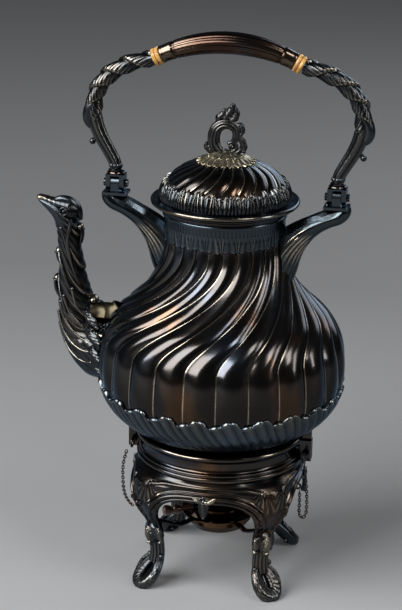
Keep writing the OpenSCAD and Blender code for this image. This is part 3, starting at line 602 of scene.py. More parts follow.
def lid_shell():
    """The lid's dome: convex lobes between fine pale lines, and a smooth inside."""
    height, radius = lid_curve[:, 1][:, None], lid_curve[:, 0][:, None]
    near, angle = lobe_columns(LID_LOBES)
    angle = angle + np.radians(LID_SWIRL) * ease(184, 210, height)
    depth = 1.6 * ease(187, 193, height) * ease(208.6, 203, height) * np.sqrt(radius / 47)
    line = crease_line(near, radius, LID_LOBES) * ease(187, 190, height)
    out = 0.5 * line - depth * (1 - 2 * near) ** 2
    rise = np.clip((height - 184) / 24, 0, 1)
    outside = cylinder_points(radius + out * (1 - 0.6 * rise), angle, height + 0.75 * out * rise)
    top = cylinder_points(0, angle[:1], LID_TOP)
    under = cylinder_points(0, angle[:1], LID_UNDER)
    inner = lid_curve[::-4]
    inner_height = np.maximum(inner[:, 1:] - 2.4, LID_LOW)
    inside = cylinder_points(inner[:, :1] - 2.6, angle[:1], inner_height)
    rows = np.concatenate([outside, top, under, inside, outside[:1]])
    tone = np.zeros(rows.shape[:2])
    tone[: len(outside)] = 0.75 * line - 0.3 * (1 - line)
    return rows, tone


piece("lid_fluted", [lid_shell()], SILVER, "lid", ["lid_dome"])
piece("lid_fringe", [fringe(lid_radius, 179.4, 189.2, 110, 22, 1.6, 4.6, True)], CHASED, "lid")

ROSETTE_DISH = [[0, 212.6], [9, 211.4], [14, 209], [17.4, 207], [17.8, 206], [15, 205.4], [0, 205.2]]
ROSETTE_LOW = [[4, 212.8], [8, 212.2], [12, 210.8], [16, 208.6], [19, 207.2], [21.4, 207]]
ROSETTE_HIGH = [[2.6, 213.6], [5.6, 213.6], [8.6, 212.6], [11.6, 211.2], [13.6, 210.9]]


def rosette_leaves():
    """Two rounds of ragged leaves over the dish under the finial."""
    leaves = []
    for count, path, half, first in ((21, ROSETTE_LOW, 3.4, 0), (13, ROSETTE_HIGH, 2.9, 9)):
        rows, tone = leaf("rosette", in_plane(smooth(path, 6)), (0.3, 0, 1), half, 0.5, 0.35)
        strokes = np.cos(4.5 * np.pi * np.linspace(-1, 1, tone.shape[1])) ** 2
        for k in range(count):
            leaves += turned([(rows, tone + 0.75 * strokes)], first + 360 * k / count)
    return leaves


leafed_piece("rosette", [lathe(ROSETTE_DISH, 96)], rosette_leaves(), PALE_HIGHLIGHT_SILVER, "lid", "lid_rosette",
             0.6)

FINIAL_RING = [[3.4, 210.8, 3.2], [-4, 212.4, 3.8], [-8.6, 217.4, 4.2], [-9.4, 224.6, 4.2], [-7.2, 230.6, 4],
               [-2.4, 233.8, 3.7], [3.2, 233.4, 3.5], [6.8, 230, 3.1], [7.2, 225, 2.6], [5.4, 221, 1.9]]
FINIAL_BACK = [[3, 210.5, 2.4], [7.6, 212.4, 2], [11.2, 216, 1.7], [11.4, 221, 1.4], [8.6, 224, 1]]
FINIAL_BALLS = ((5, 217, 1.5), (-12.6, 216.4, 1.7), (13, 214, 1.6))
FINIAL_LEAVES = [([[-6.4, 234.4], [-5.6, 238.6], [-2.6, 241.6], [-1.4, 245]], 3.3),
                 ([[-2, 236.6], [0.4, 241], [3, 244.6], [4.6, 249]], 3.6),
                 ([[3, 236], [5.8, 238.6], [7, 242], [6.4, 246]], 2.7),
                 ([[6, 233], [10, 233.4], [11.4, 229.6], [10.2, 226]], 2.4),
                 ([[9, 226], [11.6, 222], [13.2, 217.6], [12, 213.4]], 2.6),
                 ([[-9, 216], [-12.4, 214.4], [-14.6, 216.4], [-14.2, 219.6]], 2.4)]


def finial_forms():
    """An open reeded scroll that rises from the rosette, with a volute inside its foot."""
    sides, reeds = 40, 10
    ring = strand(FINIAL_RING, 8, sides, reeds, 1.1)
    crests = np.abs(np.cos(reeds / 2 * round_angles(sides)))
    return [(ring, 0.15 * crests**4 - 0.9 * (1 - crests) ** 2), strand(FINIAL_BACK, 8, 16, 6, 0.4),
            spiral((4.6, 0, 217 + KETTLE_Z), 3.9, 0.9, 1.4, 1.5, 1.0, hand=-1, begin=2.6),
            *(ball((x, 0, h + KETTLE_Z), r) for x, h, r in FINIAL_BALLS)]


def finial_leaves():
    """Leaves along the scroll's crest and back, in pairs that face both ways."""
    leaves = []
    for points, half in FINIAL_LEAVES:
        leaves += leaf_pair("finial", in_plane(smooth(points, 6)), (0, 1, 0.2), half, 1, 0.6, (0, 0.8, 0))
    return leaves


leafed_piece("finial_scroll", finial_forms(), finial_leaves(), GREY, "lid", "finial", 0.7)

# ---------- handle ----------

ARM_PATH = [[82.4, 195.8, 4.2], [84, 201.6, 4.3], [88.2, 209.5, 4.5], [93.2, 218.5, 4.8], [97.4, 229, 5.2],
            [99, 240.5, 5.4], [97.2, 251.5, 5.5], [91.3, 261.6, 5.6], [81.2, 270, 5.6], [68.5, 275.9, 5.4],
            [54.5, 279.2, 5]]
ARM_LEAF = [[95, 246, 3.4, 4], [99.6, 243, 4.6, 5.2], [102.6, 238, 4.4, 5.4], [103, 232, 4.4, 5],
            [100.4, 227.6, 3.6, 4], [97.4, 229, 1.6, 2]]
ARM_BUD = [[94.6, 219.4, 2.2], [97.4, 217, 1.6], [99.6, 215.4, 1.3]]
ARM_BALLS = ((100.2, 214.8, 2.4), (98.4, 217.6, 1.5))
ARM_BEADS, ARM_BEAD_RING = 8, (82.6, 3.4, 198)
WRAP_FROM = 0.44


def arm():
    """The right arm: reeded below, and wound above with overlapping serrated leaves."""
    sides = 72
    p = smooth(ARM_PATH, 22)
    t = fraction_along(p)
    a = round_angles(sides)
    reeds = 1.3 * np.abs(np.cos(2.5 * a + 1.2 * t)) ** 0.8 - 0.7
    step = (t * 8.4 - 2 * a / TAU) % 1
    serration = np.abs(np.sin(9 * a + 7 * step + 3 * t))
    wrap = 1.9 * (1 - step) ** 0.8 * ease(0, 0.08, step)
    wrap = wrap + 0.7 * serration * (1 - step) * ease(0.08, 0.2, step) - 0.7
    upper = ease(WRAP_FROM - 0.03, WRAP_FROM + 0.03, t) * ease(1.0, 0.96, t)
    rows = tube(in_plane(p), p[:, 2], p[:, 2], sides, relief=reeds * (1 - upper) + wrap * upper)
    leafy = 0.4 * bump(step, 0.1, 0.07) + 0.3 * serration**4 * (1 - step)
    leafy = leafy - 0.7 * (1 - serration) ** 2 - 0.6 * ease(0.6, 1, step)
    reedy = 0.08 * np.clip(reeds * 2, 0, 1) - 0.9 * np.clip(-reeds * 1.6, 0, 1)
    tone = upper * leafy + (1 - upper) * reedy
    x, ring, h = ARM_BEAD_RING
    beads = cylinder_points(ring, round_angles(ARM_BEADS)[0], h) + [x, 0, 0]
    return [(pinched(rows), pinched_tone(tone)), strand(ARM_LEAF, 6, 28, 9, 0.5), strand(ARM_BUD, 5, 14),
            *(ball((x, 0, h + KETTLE_Z), r) for x, h, r in ARM_BALLS), *(ball(bead, 1.9) for bead in beads)]


for side, word in SIDES:
    piece("arm_" + word, on_side(side, arm()), CHASED, "handle", ["handle_arm_" + word])

GRIP_ARC, GRIP_MID, GRIP_END = 112.7, 293.2, 25.7
GRIP_REEDS = 18


def grip():
    """The grip: a reeded tube that swells to the middle, with plain rounded ends."""
    sides = 96
    deg = np.linspace(-GRIP_END, GRIP_END, 120)
    off = np.abs(deg)
    turn = np.radians(deg)
    path = in_plane(np.stack([GRIP_ARC * np.sin(turn), GRIP_MID - GRIP_ARC * (1 - np.cos(turn))], 1))
    end = ease(19, 21.5, off)
    radius = 5.9 + 2.1 * np.cos(np.radians(90 * deg / GRIP_END)) + 0.25 * end
    radius = radius - 0.5 * bump(off, 20.2, 0.5) + 0.35 * bump(off, 25.2, 0.5)
    reeding = 0.34 * (np.abs(np.cos(GRIP_REEDS / 2 * round_angles(sides))) - 0.6) * (1 - end)[:, None]
    rows = tube(path, radius, radius, sides, relief=reeding)
    streak = np.abs(np.cos(GRIP_REEDS * round_angles(sides))) ** 4 * ease(8, 20, off)[:, None]
    tone = 0.16 * streak + 0.05 * end[:, None] - 0.5 * (1 - streak) * bump(off, 20.2, 0.6)[:, None]
    return pinched(rows), pinched_tone(tone)


piece("grip_reeded", [grip()], GRIP, "handle", ["grip"])

BRACKET_PATH = [[87, 177.4, 4.8, 6.6], [87.2, 174, 5.6, 7.4], [83.6, 170.2, 5.8, 8], [76.6, 167.2, 5.8, 8],
                [68.4, 163, 6.4, 8], [60, 157.2, 7.8, 8.2], [52.4, 149.6, 9.6, 8.8], [46.4, 140.4, 11.4, 9.4],
                [42.4, 130.4, 12.6, 9.4], [40, 122, 12, 8]]
BRACKET_SINK = 2.6


def kept_outside(rows, wall):
    """The rows, with points that would be inside the neck moved out to just under its skin."""
    r = np.hypot(rows[..., 0], rows[..., 1])
    least = body_radius(np.clip(rows[..., 2] - KETTLE_Z, 0, NECK_TOP)) - wall
    grow = np.maximum(least / np.maximum(r, 1e-6), 1)
    return np.stack([rows[..., 0] * grow, rows[..., 1] * grow, rows[..., 2]], -1)


def bracket():
    """A smooth horn from the hinge plate down to the neck, with a ribbed leaf round its root."""
    sides = 64
    p = smooth(BRACKET_PATH, 12)
    t = fraction_along(p)
    a = round_angles(sides)
    root = ease(0.52, 0.6, t + 0.04 * np.cos(6 * a))
    rib = np.abs(np.sin(11 * a + 6 * t))
    rows = tube(in_plane(p), p[:, 2], p[:, 3], sides, relief=0.3 + 0.7 * root * (rib - 0.6))
    high = ease(132, 150, p[:, 1])[:, None]
    tone = root * (0.8 * high * rib**2 + 0.12 * rib**2 - 0.8 * (1 - rib) ** 1.5)
    scroll = spiral((75.6, 0, 176.4 + KETTLE_Z), 2.2, 0.8, 1.2, 1.1, 0.8, hand=1, begin=-0.6)
    return [(kept_outside(pinched(rows), BRACKET_SINK), pinched_tone(tone)), scroll]


for side, word in SIDES:
    piece("bracket_horn_" + word, on_side(side, bracket()), TEAL, "kettle")

# ---------- spout ----------

SPOUT_PATH = [[-86, 55, 27, 24], [-94, 57, 26, 21.5], [-102, 62, 21.5, 17.5], [-108.5, 71, 17, 14.5],
              [-112, 82, 14.8, 12.8], [-113.8, 94, 12.6, 11.6], [-115.5, 108, 10.8, 10.4],
              [-117, 124, 8.9, 9], [-118.5, 140, 8.3, 8.3], [-120.6, 150.5, 8.4, 7.6],
              [-125.4, 158, 6.6, 6.4], [-131.6, 162.6, 4.6, 5], [-137.4, 165.8, 2.8, 3.6],
              [-141.4, 167.8, 1.4, 2.2]]
BILL = [[-118, 163, 6.4, 6.6], [-125.5, 165.2, 4.4, 5.4], [-132, 167.4, 2.8, 4.4], [-137.6, 169.2, 2.2, 3.6],
        [-141, 169.4, 2.3, 3.6], [-142.5, 168.6, 1.5, 2.4]]
CROWN = [[-130, 167.4, 1.6, 2.6], [-124.6, 169.6, 2, 3.4], [-118, 168.8, 2.2, 3.8], [-112.8, 165.4, 2.2, 3.8],
         [-110.2, 160, 2, 3.4], [-109.6, 154, 1.4, 2.4]]
CHEEK = [[-127, 5.8, 163.6], [-122, 7.8, 158], [-116, 8, 154], [-111.6, 6, 149]]
EYE = [-120.8, 7.2, 161.4]
# Stems that lie on the skin, and their radii: [place along, angle from the front]
STEMS = [([[0.7, 130], [0.62, 96], [0.55, 100], [0.47, 120]], 1.7),
         ([[0.68, 70], [0.6, 84], [0.52, 104], [0.44, 128]], 1.3),
         ([[0.57, 12], [0.53, 40], [0.46, 78], [0.38, 104]], 1.5),
         ([[0.47, 12], [0.42, 34], [0.34, 62], [0.26, 84]], 1.5),
         ([[0.43, 96], [0.36, 102], [0.3, 118], [0.23, 136]], 1.4),
         ([[0.4, 60], [0.33, 78], [0.26, 100], [0.18, 118]], 1.4),
         ([[0.37, 40], [0.29, 58], [0.22, 80], [0.14, 100]], 1.4),
         ([[0.32, 24], [0.24, 44], [0.17, 66], [0.1, 86]], 1.3),
         ([[0.27, 12], [0.2, 28], [0.13, 50], [0.07, 70]], 1.2)]
# Scrolls, two in front, one behind the head and one over the root: x, height, radius, hand, start angle
SCROLLS = ((-126.2, 129, 3.3, 1, 3.4), (-127.6, 107.5, 3.3, 1, 3.4), (-109.8, 148.6, 3, -1, -0.4),
           (-99.4, 91.6, 4.4, -1, -0.2))
SCROLL_STALKS = [[[-122.6, 117, 1.6, 3], [-126.4, 122, 1.8, 2.8], [-128, 128, 1.3, 2]],
                 [[-124, 91, 1.8, 4], [-128, 98, 2.2, 3.6], [-129.4, 106, 1.5, 2.4]],
                 [[-109.6, 136, 1.4, 3], [-108.6, 142, 1.8, 2.8], [-108.6, 148, 1.4, 2]]]
CUP = [[-104, 97], [-100.4, 91.6], [-95, 90], [-89.6, 90.4], [-85.6, 90.4], [-83.4, 92.6]]
# Leaves over the belly: start, end and half width
ROOT_LEAVES = (((-104, 12, 84), (-91, 20, 75), 5.4), ((-103, 15, 72), (-88.6, 26, 65), 5),
               ((-100, 16, 60), (-88.6, 27, 52), 4.6), ((-97, 12, 46), (-89, 21.5, 40), 4.2))


def spout_neck(p):
    """The spout's tube, under long leaves that overlap up its sides and a shell round its root."""
    sides = 96
    t = fraction_along(p)
    a = round_angles(sides)
    front = np.cos(a)
    step = (t * 8.4 - 0.9 * front) % 1
    fade = ease(0.1, 0.2, t) * ease(0.74, 0.66, t)
    vein = np.cos(TAU * 3 * step + 2 * front)
    leafy = 1.5 * (1 - step) ** 0.8 * ease(0, 0.08, step) + 0.22 * vein - 0.7
    shell = np.abs(np.sin(13 * a + 5 * t))
    root = ease(0.03, 0.08, t) * ease(0.22, 0.14, t)
    rows = tube(in_plane(p), p[:, 2], p[:, 3], sides, relief=fade * leafy + root * (1.1 * shell - 0.4))
    pale = 0.35 * bump(step, 0.09, 0.05) + 0.12 * np.clip(vein, 0, 1) ** 3
    dark = 0.8 * ease(0.55, 1, step) + 0.3 * np.clip(-vein, 0, 1)
    shell_tone = 0.4 * shell**3 * ease(-0.3, 0.7, -front) - 0.8 * (1 - shell) ** 2
    return pinched(rows), pinched_tone(fade * (pale - dark) + root * shell_tone)


def spout_head():
    """A bird's head: its bill in two halves with a line between them, a crown, eyes and cheeks."""
    head = ball((-118.4, 0, 160 + KETTLE_Z), 8.6, (1.08, 0.86, 0.92), 36, 60)
    x, height = head[..., 0], head[..., 2]
    feather = np.abs(np.sin(1.1 * (x + 118) + 0.5 * height)) * ease(-123, -119, x)
    bill = strand(BILL, 8, 32)
    x = bill[..., 0]
    furrow = np.abs(np.sin(0.9 * x)) * ease(-140, -136, x)
    grids = [(head, -0.75 * feather**2), strand(CROWN, 6, 24, 9, 0.5),
             (bill, 0.35 * ease(-124, -131, x) - 0.7 * furrow**3)]
    turn = TAU * np.arange(25) / 24
    for side in (-1, 1):
        eye = np.array(EYE) * [1, side, 1] + [0, 0, KETTLE_Z]
        loop = eye + np.stack([2.9 * np.cos(turn), 0 * turn, 2.9 * np.sin(turn)], 1)
        cheek = smooth(np.array(CHEEK) * [1, side, 1] + [0, 0, KETTLE_Z], 8)
        grids += [tube(loop, 0.8, 1.1, 10), ball(eye, 1.6), pinched(tube(cheek, 0.8, 1.2, 12))]
    return grids


def spout_stems(p):
    """Stems with a bead at the tip, laid on the spout's skin from the scrolls down towards the root."""
    path = in_plane(p)
    _, across, outward = path_frames(path, (0, 1, 0))
    grids = []
    for points, r in STEMS:
        for side in (-1, 1):
            q = smooth([[at, side * angle] for at, angle in points], 8)
            here = [np.interp(q[:, 0] * (len(p) - 1), np.arange(len(p)), values)[:, None]
                    for values in (*path.T, *outward.T, *across.T, p[:, 2] + 0.1, p[:, 3] + 0.1)]
            turn = np.radians(q[:, 1])[:, None]
            line = (np.hstack(here[:3]) + here[9] * np.cos(turn) * np.hstack(here[3:6])
                    + here[10] * np.sin(turn) * np.hstack(here[6:9]))
            width = r * np.interp(np.linspace(0, 1, len(line)), [0, 0.12, 0.6, 1], [1.1, 1, 0.8, 0.35])
            tone = 0.2 if points[0][0] < 0.45 else 0.06
            grids += [(pinched(tube(line, width, width, 14)), tone), ball(line[0], r * 1.25)]
    return grids


def spout_scrolls():
    grids = []
    for x, height, r, hand, begin in SCROLLS:
        centre = (x, 0, height + KETTLE_Z)
        # Each scroll's centre ball has the pale tone 0.3 all over: a painted highlight.
        grids += [spiral(centre, r * 0.95, 0.5, 1.5, r * 0.4, r * 0.3, hand=hand, begin=begin),
                  (ball(centre, r * 0.85, (1, 1.6, 1)), 0.3)]
    return grids + [strand(stalk, 5, 14) for stalk in SCROLL_STALKS]


def spout_cup():
    """The curled leaf over the spout's root."""
    rows, tone = leaf("spout_cup", in_plane(smooth(CUP, 7)), (0.2, 0, 1), 11, 0.5, 0.55)
    return [(rows - [0, 0, 1.4], tone)]


def spout_leaves():
    """The leaves that spread from the spout's root over the belly."""
    grids = []
    for start, end, half in ROOT_LEAVES:
        mid = (np.array(start) + end) / 2 + [-1.2, 1.6, 1]
        line = smooth([start, mid, end], 9) + [0, 0, KETTLE_Z]
        grids += leaf_pair("spout_root", line, (-0.75, 0.65, 0.2), half, 0.9, 0.5)
    return grids


spout_curve = smooth(SPOUT_PATH, 16)
spout_grids = [spout_neck(spout_curve), *spout_head(), *spout_stems(spout_curve), *spout_scrolls()]
piece("spout_leafed", spout_grids, CHASED, "kettle", ["spout"])
piece("spout_cup_leaf", spout_cup(), OLIVE, "kettle", closed=False, thickness=0.9)
piece("spout_root_leaves", spout_leaves(), CHASED, "kettle", closed=False, thickness=0.9)

# ---------- stand ----------

RING_OUTLINE = [[58.6, -22], [62.2, -22], [63.4, -20.8], [64, -19.2], [63.4, -17.6], [61.8, -17], [62.8, -16],
                [62.4, -14.8], [60.6, -14.2], [59.8, -12], [59.6, -9.6], [60, -7.2], [61, -5.4], [62.6, -4.6],
                [63.9, -3.4], [64.2, -2], [63.2, -0.6], [61, 0], [58.2, -0.8], [57.4, -3], [57.4, -20],
                [58.6, -22]]
RING_EDGES = ((-1.6, 0.6, 0.2), (-16, 0.5, 0.16), (-19.4, 0.7, 0.12))
STAND_H = 117
SLOT_HALF, SLOT_FROM, SLOT_AT = 1.8, 59.8, 62


def stand_ring():
    """The stand's moulded collar, cut through on either side for the kettle's tongues."""
    fine = smooth(RING_OUTLINE, 3)
    edge = math.asin(SLOT_HALF / SLOT_AT)
    cuts = [a % TAU for e in (edge, edge * 0.98) for a in (e, -e, np.pi - e, np.pi + e)]
    angles = np.sort(np.concatenate([round_angles(192)[0], cuts]))[None, :]
    gap = np.min([np.abs(angles - middle) for middle in (0, np.pi, TAU)], axis=0) < edge * 0.99
    radius = np.where(gap, np.minimum(fine[:, :1], SLOT_FROM), fine[:, :1])
    tone = sum(pale * bump(fine[:, 1:], at, half) for at, half, pale in RING_EDGES)
    return cylinder_points(radius, angles, fine[:, 1:], STAND_H), tone


piece("stand_collar", [stand_ring()], SILVER, "stand", ["stand_ring"])

FACE_RADII = [[40, 52], [60, 59], [75, 62.6], [85, 63.4], [90, 63.2], [95, 62.2]]
CORNER_RADII = [[40, 58.6], [47, 60], [53.5, 63.2], [60, 68], [68, 72], [76, 73.6], [83, 73.4], [88, 72],
                [91.5, 68.8], [95, 62.6]]
BODY_TOP = 95.0
KNEE_H, ARCH_RISE, ARCH_HALF, ARCH_SQUARE = 40, 39, 37, 5
MEAN_RADIUS, CORNER_RADIUS = 64, 68
SHELL_WALL = 2
FRONT = -90
QUARTERS = [FRONT + 90 * q for q in range(4)]


def shell_radius(angle, height):
    """Radius of the stand's body at an angle in degrees from mid face."""
    w = np.abs(np.sin(np.radians(2 * angle))) ** 3.2
    face = np.interp(height, *np.array(FACE_RADII, float).T)
    corner = np.interp(height, *np.array(CORNER_RADII, float).T)
    return face * (1 - w) + corner * w


def arch_rolls(away):
    """Relief and tone of the rolls, fillet and groove round an arch, by the distance away from its edge."""
    inner = 1.5 * np.sqrt(np.clip(1 - ((away - 1.4) / 1.4) ** 2, 0, 1))
    outer = 2.4 * np.sqrt(np.clip(1 - ((away - 4.6) / 1.9) ** 2, 0, 1))
    relief = np.maximum(inner, outer) + 0.7 * bump(away, 7.6, 0.6) - 0.5 * bump(away, 8.8, 0.8)
    return relief, -0.8 * bump(away, 2.75, 0.35) - 0.7 * bump(away, 6.9, 0.5)


def shell_ornament(off, height, away):
    """Relief and tone of the panel's frame, corner fans, knee ribs and rays. off is degrees from mid face."""
    top_line = BODY_TOP - 3.6 - 1.8 * ease(26, 36, off)
    panel_top = bump(height, top_line, 1.0) * ease(37.5, 35.5, off)
    side_line = 35.5 + 2.2 * np.sin((height - 70) / 8)
    panel_side = bump(np.radians(off - side_line) * CORNER_RADIUS, 0, 0.8) * ease(62, 66, height)
    panel_side = panel_side * ease(top_line + 1, top_line - 1, height)
    edging = np.maximum(panel_top, panel_side)
    corner = ease(31, 34, off) * ease(8, 10.5, away) * ease(58, 64, height)
    corner = corner * ease(91, 88, height)
    fan_at = np.arctan2(np.radians(off - 38) * CORNER_RADIUS, 93 - height)
    fan_from = ease(66, 74, height)
    fan = np.abs(np.sin(13 * fan_at)) * fan_from
    knee = ease(64, 50, height) * ease(7, 9, away)
    ribs = np.abs(np.sin(np.radians(off - 45) * CORNER_RADIUS * 0.9))
    rays = bump((np.radians(off) * 56 + 0.8 * height) % 2.2, 1.1, 0.5) * bump(off, 30.4, 3.6)
    rays = rays * ease(66, 70, height) * ease(86, 81, height) * ease(7, 9, away)
    relief = 1.2 * edging + corner * (0.7 * fan - 0.3) + 0.5 * knee * ribs + 0.6 * rays
    tone = 0.06 * edging + corner * fan_from * (0.9 * fan**2 - 0.6) + 0.6 * rays + knee * (0.2 * ribs - 0.25)
    return relief, tone - 0.5 * bump(height, top_line - 1.6, 0.6) * (edging < 0.2)


def stand_body():
    """The pierced body: swelling corners, a heavy moulding round each arch, and a sunk panel over it."""
    around = np.radians(np.linspace(-90, 90, 121))
    arch_a = ARCH_HALF * np.sin(around)
    arch_z = KNEE_H + ARCH_RISE * np.sqrt(1 - np.abs(np.sin(around)) ** ARCH_SQUARE)
    left, right = np.linspace(-45, -ARCH_HALF, 9)[:-1], np.linspace(ARCH_HALF, 45, 9)[1:-1]
    col_a = np.concatenate([left, arch_a, right])
    col_z = np.pad(arch_z, (len(left), len(right)), constant_values=KNEE_H)
    t = 1 - (1 - np.linspace(0, 1, 110)) ** 1.25
    height = BODY_TOP + (col_z - BODY_TOP) * t[:, None]
    angle = np.broadcast_to(col_a, height.shape)
    flat = np.stack([np.radians(angle) * MEAN_RADIUS, height], -1)
    arch = np.stack([np.radians(arch_a) * MEAN_RADIUS, arch_z], -1)
    away = np.sqrt(((flat[:, :, None, :] - arch) ** 2).sum(-1)).min(-1)
    rolls, rolls_tone = arch_rolls(away)
    ornament, ornament_tone = shell_ornament(np.abs(angle), height, away)
    relief = (rolls + ornament) * np.maximum(ease(KNEE_H - 1, KNEE_H + 7, height), 0.3)
    radius = shell_radius(angle, height) + relief
    lip = shell_radius(angle[-1:], height[-1:]) + 0.3
    inner_h = BODY_TOP + (col_z - BODY_TOP) * np.linspace(1, 0, 5)[:, None]
    inner_r = shell_radius(np.broadcast_to(col_a, inner_h.shape), inner_h) - SHELL_WALL
    radius = np.concatenate([radius, lip, inner_r, radius[:1]])
    height = np.concatenate([height, height[-1:], inner_h, height[:1]])
    tone = np.zeros(radius.shape)
    tone[: len(away)] = ornament_tone + rolls_tone
    sides = [cylinder_points(radius, np.radians(col_a + quarter), height, 0) for quarter in QUARTERS]
    return np.concatenate(sides, 1)[::-1], np.tile(tone, (1, 4))[::-1]


piece("stand_shell", [stand_body()], PANEL, "stand", ["stand_body"])

PENDANT_LINE = [[64, 85], [66.4, 81], [67, 77], [66.6, 73], [65.8, 69]]
PENDANT_WING = [[66, 0, 80.4], [66.6, 3, 81.6], [66.2, 6.4, 83], [65.4, 8.4, 85]]
PENDANT_KNOT = ((0, 85.4, 1.5), (2.6, 83.8, 1.2), (-2.6, 83.8, 1.2), (0, 69, 0.9))


def pendant():
    """A shell hung in the middle of an arch, under a knot of small scrolls: closed forms, and leaves."""
    line = in_plane(smooth(PENDANT_LINE, 9), 0)
    shell = leaf("pendant", line, (1, 0, 0.1), 4.6, 1, 0.6)
    rows, tone = leaf("wing", smooth(PENDANT_WING, 7), (1, 0, 0), 1.9, 0.7)
    wings = [(rows * [1, side, 1], tone) for side in (1, -1)]
    width = np.interp(np.linspace(0, 1, len(line)), [0, 0.35, 0.7, 1], [2.2, 3.8, 2.6, 0.8])
    back = pinched(tube(line, 1.4, width, 20)) - [1, 0, 0]
    return [*(ball((66.6, y, h), r) for y, h, r in PENDANT_KNOT), back], [shell, *wings]


forms, leaves = [[grid for quarter in QUARTERS for grid in turned(grids, quarter)] for grids in pendant()]
leafed_piece("pendant", forms, leaves, CHASED, "stand", "apron_pendants", 0.8)

LEG_PATH = [[57.6, 51, 3.6, 5.4], [59, 46.5, 5.8, 7.4], [59, 41, 6.2, 7.6], [57.6, 36, 5, 6.4],
            [56.6, 30, 4.7, 6], [56.4, 23, 4.8, 6.2], [57.6, 16.5, 5, 6.6]]
LEG_GROOVES = 12
LEG_KNOBS = ((57.4, 7, 23, 2.3), (59, -6.8, 21, 1.9), (60, 6.6, 40, 2.2), (60, -6.6, 40, 2.2))
LEG_PAD = [[0, 0], [3.4, 0], [4, 2], [0, 4]]
KNEE_LEAF = [[64.6, 48], [66, 44.6], [66.1, 41], [64.8, 37.8], [63.8, 35.8], [65, 34.4]]
SIDE_LEAF = [[60, 7.4, 48], [60.6, 8.3, 44.4], [60.4, 8.3, 40.8], [58.8, 7.4, 37.4], [59.4, 8, 35]]
TOE_LEAF = [[58.4, 5.4, 21], [62.4, 8.8, 17], [66.6, 10, 11], [70, 8.6, 5.6]]
FOOT_REACH, FOOT_SET, FOOT_TILT, FOOT_MID = 69, 5.6, math.radians(42), 11.3
FOOT_LONG, FOOT_WIDE, FOOT_FLARE, FOOT_THIN, FOOT_THICK = 12.8, 7.3, 0.2, 3.2, 4.6


def shank():
    """The leg from the knee down, ribbed below the knee's leaves."""
    sides = 96
    p = smooth(LEG_PATH, 10)
    ribbed = ease(0.3, 0.42, fraction_along(p))
    groove = np.abs(np.cos(LEG_GROOVES / 2 * round_angles(sides)))
    rows = tube(in_plane(p, 0), p[:, 2], p[:, 3], sides, relief=(0.9 * groove - 0.4) * ribbed)
    return pinched(rows), pinched_tone((0.14 * groove**2 - 0.9 * (1 - groove) ** 2) * ribbed, 1)


def foot_loop():
    """The foot's open loop, thicker and scaled towards the floor."""
    steps, sides = 64, 28
    at = TAU * np.arange(steps + 1)[:, None] / steps
    around = round_angles(sides)
    up, out = np.cos(at), np.sin(at) * (1 - FOOT_FLARE * np.cos(at))
    thick = FOOT_THIN + (FOOT_THICK - FOOT_THIN) * (1 - up) / 2
    thick = thick + 0.5 * (np.abs(np.cos(2.5 * around + 0.4)) - 0.6)
    thick = thick + 0.3 * np.abs(np.cos(9 * at)) * ease(0.4, -0.2, up)
    grow = thick * np.cos(around) * np.where(np.cos(around) < 0, 1.6, 1)
    thick = thick * np.sin(around)
    along = up * (FOOT_LONG + grow)
    c, s = math.cos(FOOT_TILT), math.sin(FOOT_TILT)
    rows = np.stack([FOOT_REACH - FOOT_SET - along * s + thick * c, out * FOOT_WIDE + np.sin(at) * grow,
                     FOOT_MID + along * c + thick * s], -1)
    rows[..., 2] = np.maximum(rows[..., 2], 0.0)
    scale = np.abs(np.cos(15 * at) * np.cos(4 * around + 8 * at))
    return rows, 0.5 * (scale - 0.35) * ease(0.5, -0.3, up) - 0.5 * (np.cos(around) < -0.5)


def leg():
    """One leg along +X: closed forms, and the leaves at its knee and toe."""
    pad = lathe(LEG_PAD, 32, 0) + [FOOT_REACH, 0, 0]
    closed = [shank(), foot_loop(), pad, *(ball((x, y, h), r) for x, y, h, r in LEG_KNOBS)]
    knee = leaf("knee", in_plane(smooth(KNEE_LEAF, 7), 0), (1, 0, 0.1), 4.8, 1.1, 0.45)
    sides = leaf_pair("knee_side", smooth(SIDE_LEAF, 7), (0.35, 1, 0.1), 3.8, 1.1, 0.5)
    toes = leaf_pair("toe", smooth(TOE_LEAF, 7), (0.6, 0.7, 0.6), 2.6, 0.8, 0.4, (0.3, 0.4, 0.5))
    return closed, [knee, *sides, *toes]


for word, spin in (("front_left", -135), ("front_right", -45), ("rear_left", 135), ("rear_right", 45)):
    forms, leaves = [turned(grids, spin) for grids in leg()]
    leafed_piece("leg_ribbed_" + word, forms, leaves, CHASED, "stand", "leg_" + word, 0.8)

# From the pin's ring to the stand, and the direction across each that every second link lies in
CHAIN_LEFT = [[-70.6, -13.4, 94.4], [-72.6, -16, 84], [-71, -24, 75.4], [-66.6, -36.4, 69],
              [-59.4, -47.6, 66.4], [-55.1, -50.7, 67]]
CHAIN_RIGHT = [[67, -13.4, 94.6], [69.6, -14.6, 80], [70.6, -15.4, 66], [70.2, -15.8, 57], [67.6, -16, 53.4],
               [65.2, -16, 57], [65, -15.4, 68], [64.6, -13.8, 76.4]]
CHAINS = (("left", CHAIN_LEFT, (0.94, 0.35, 0)), ("right", CHAIN_RIGHT, (0, 1, 0)))
LINK_PITCH, LINK_LONG, LINK_WIDE, LINK_WIRE = 2.1, 1.55, 1.0, 0.4


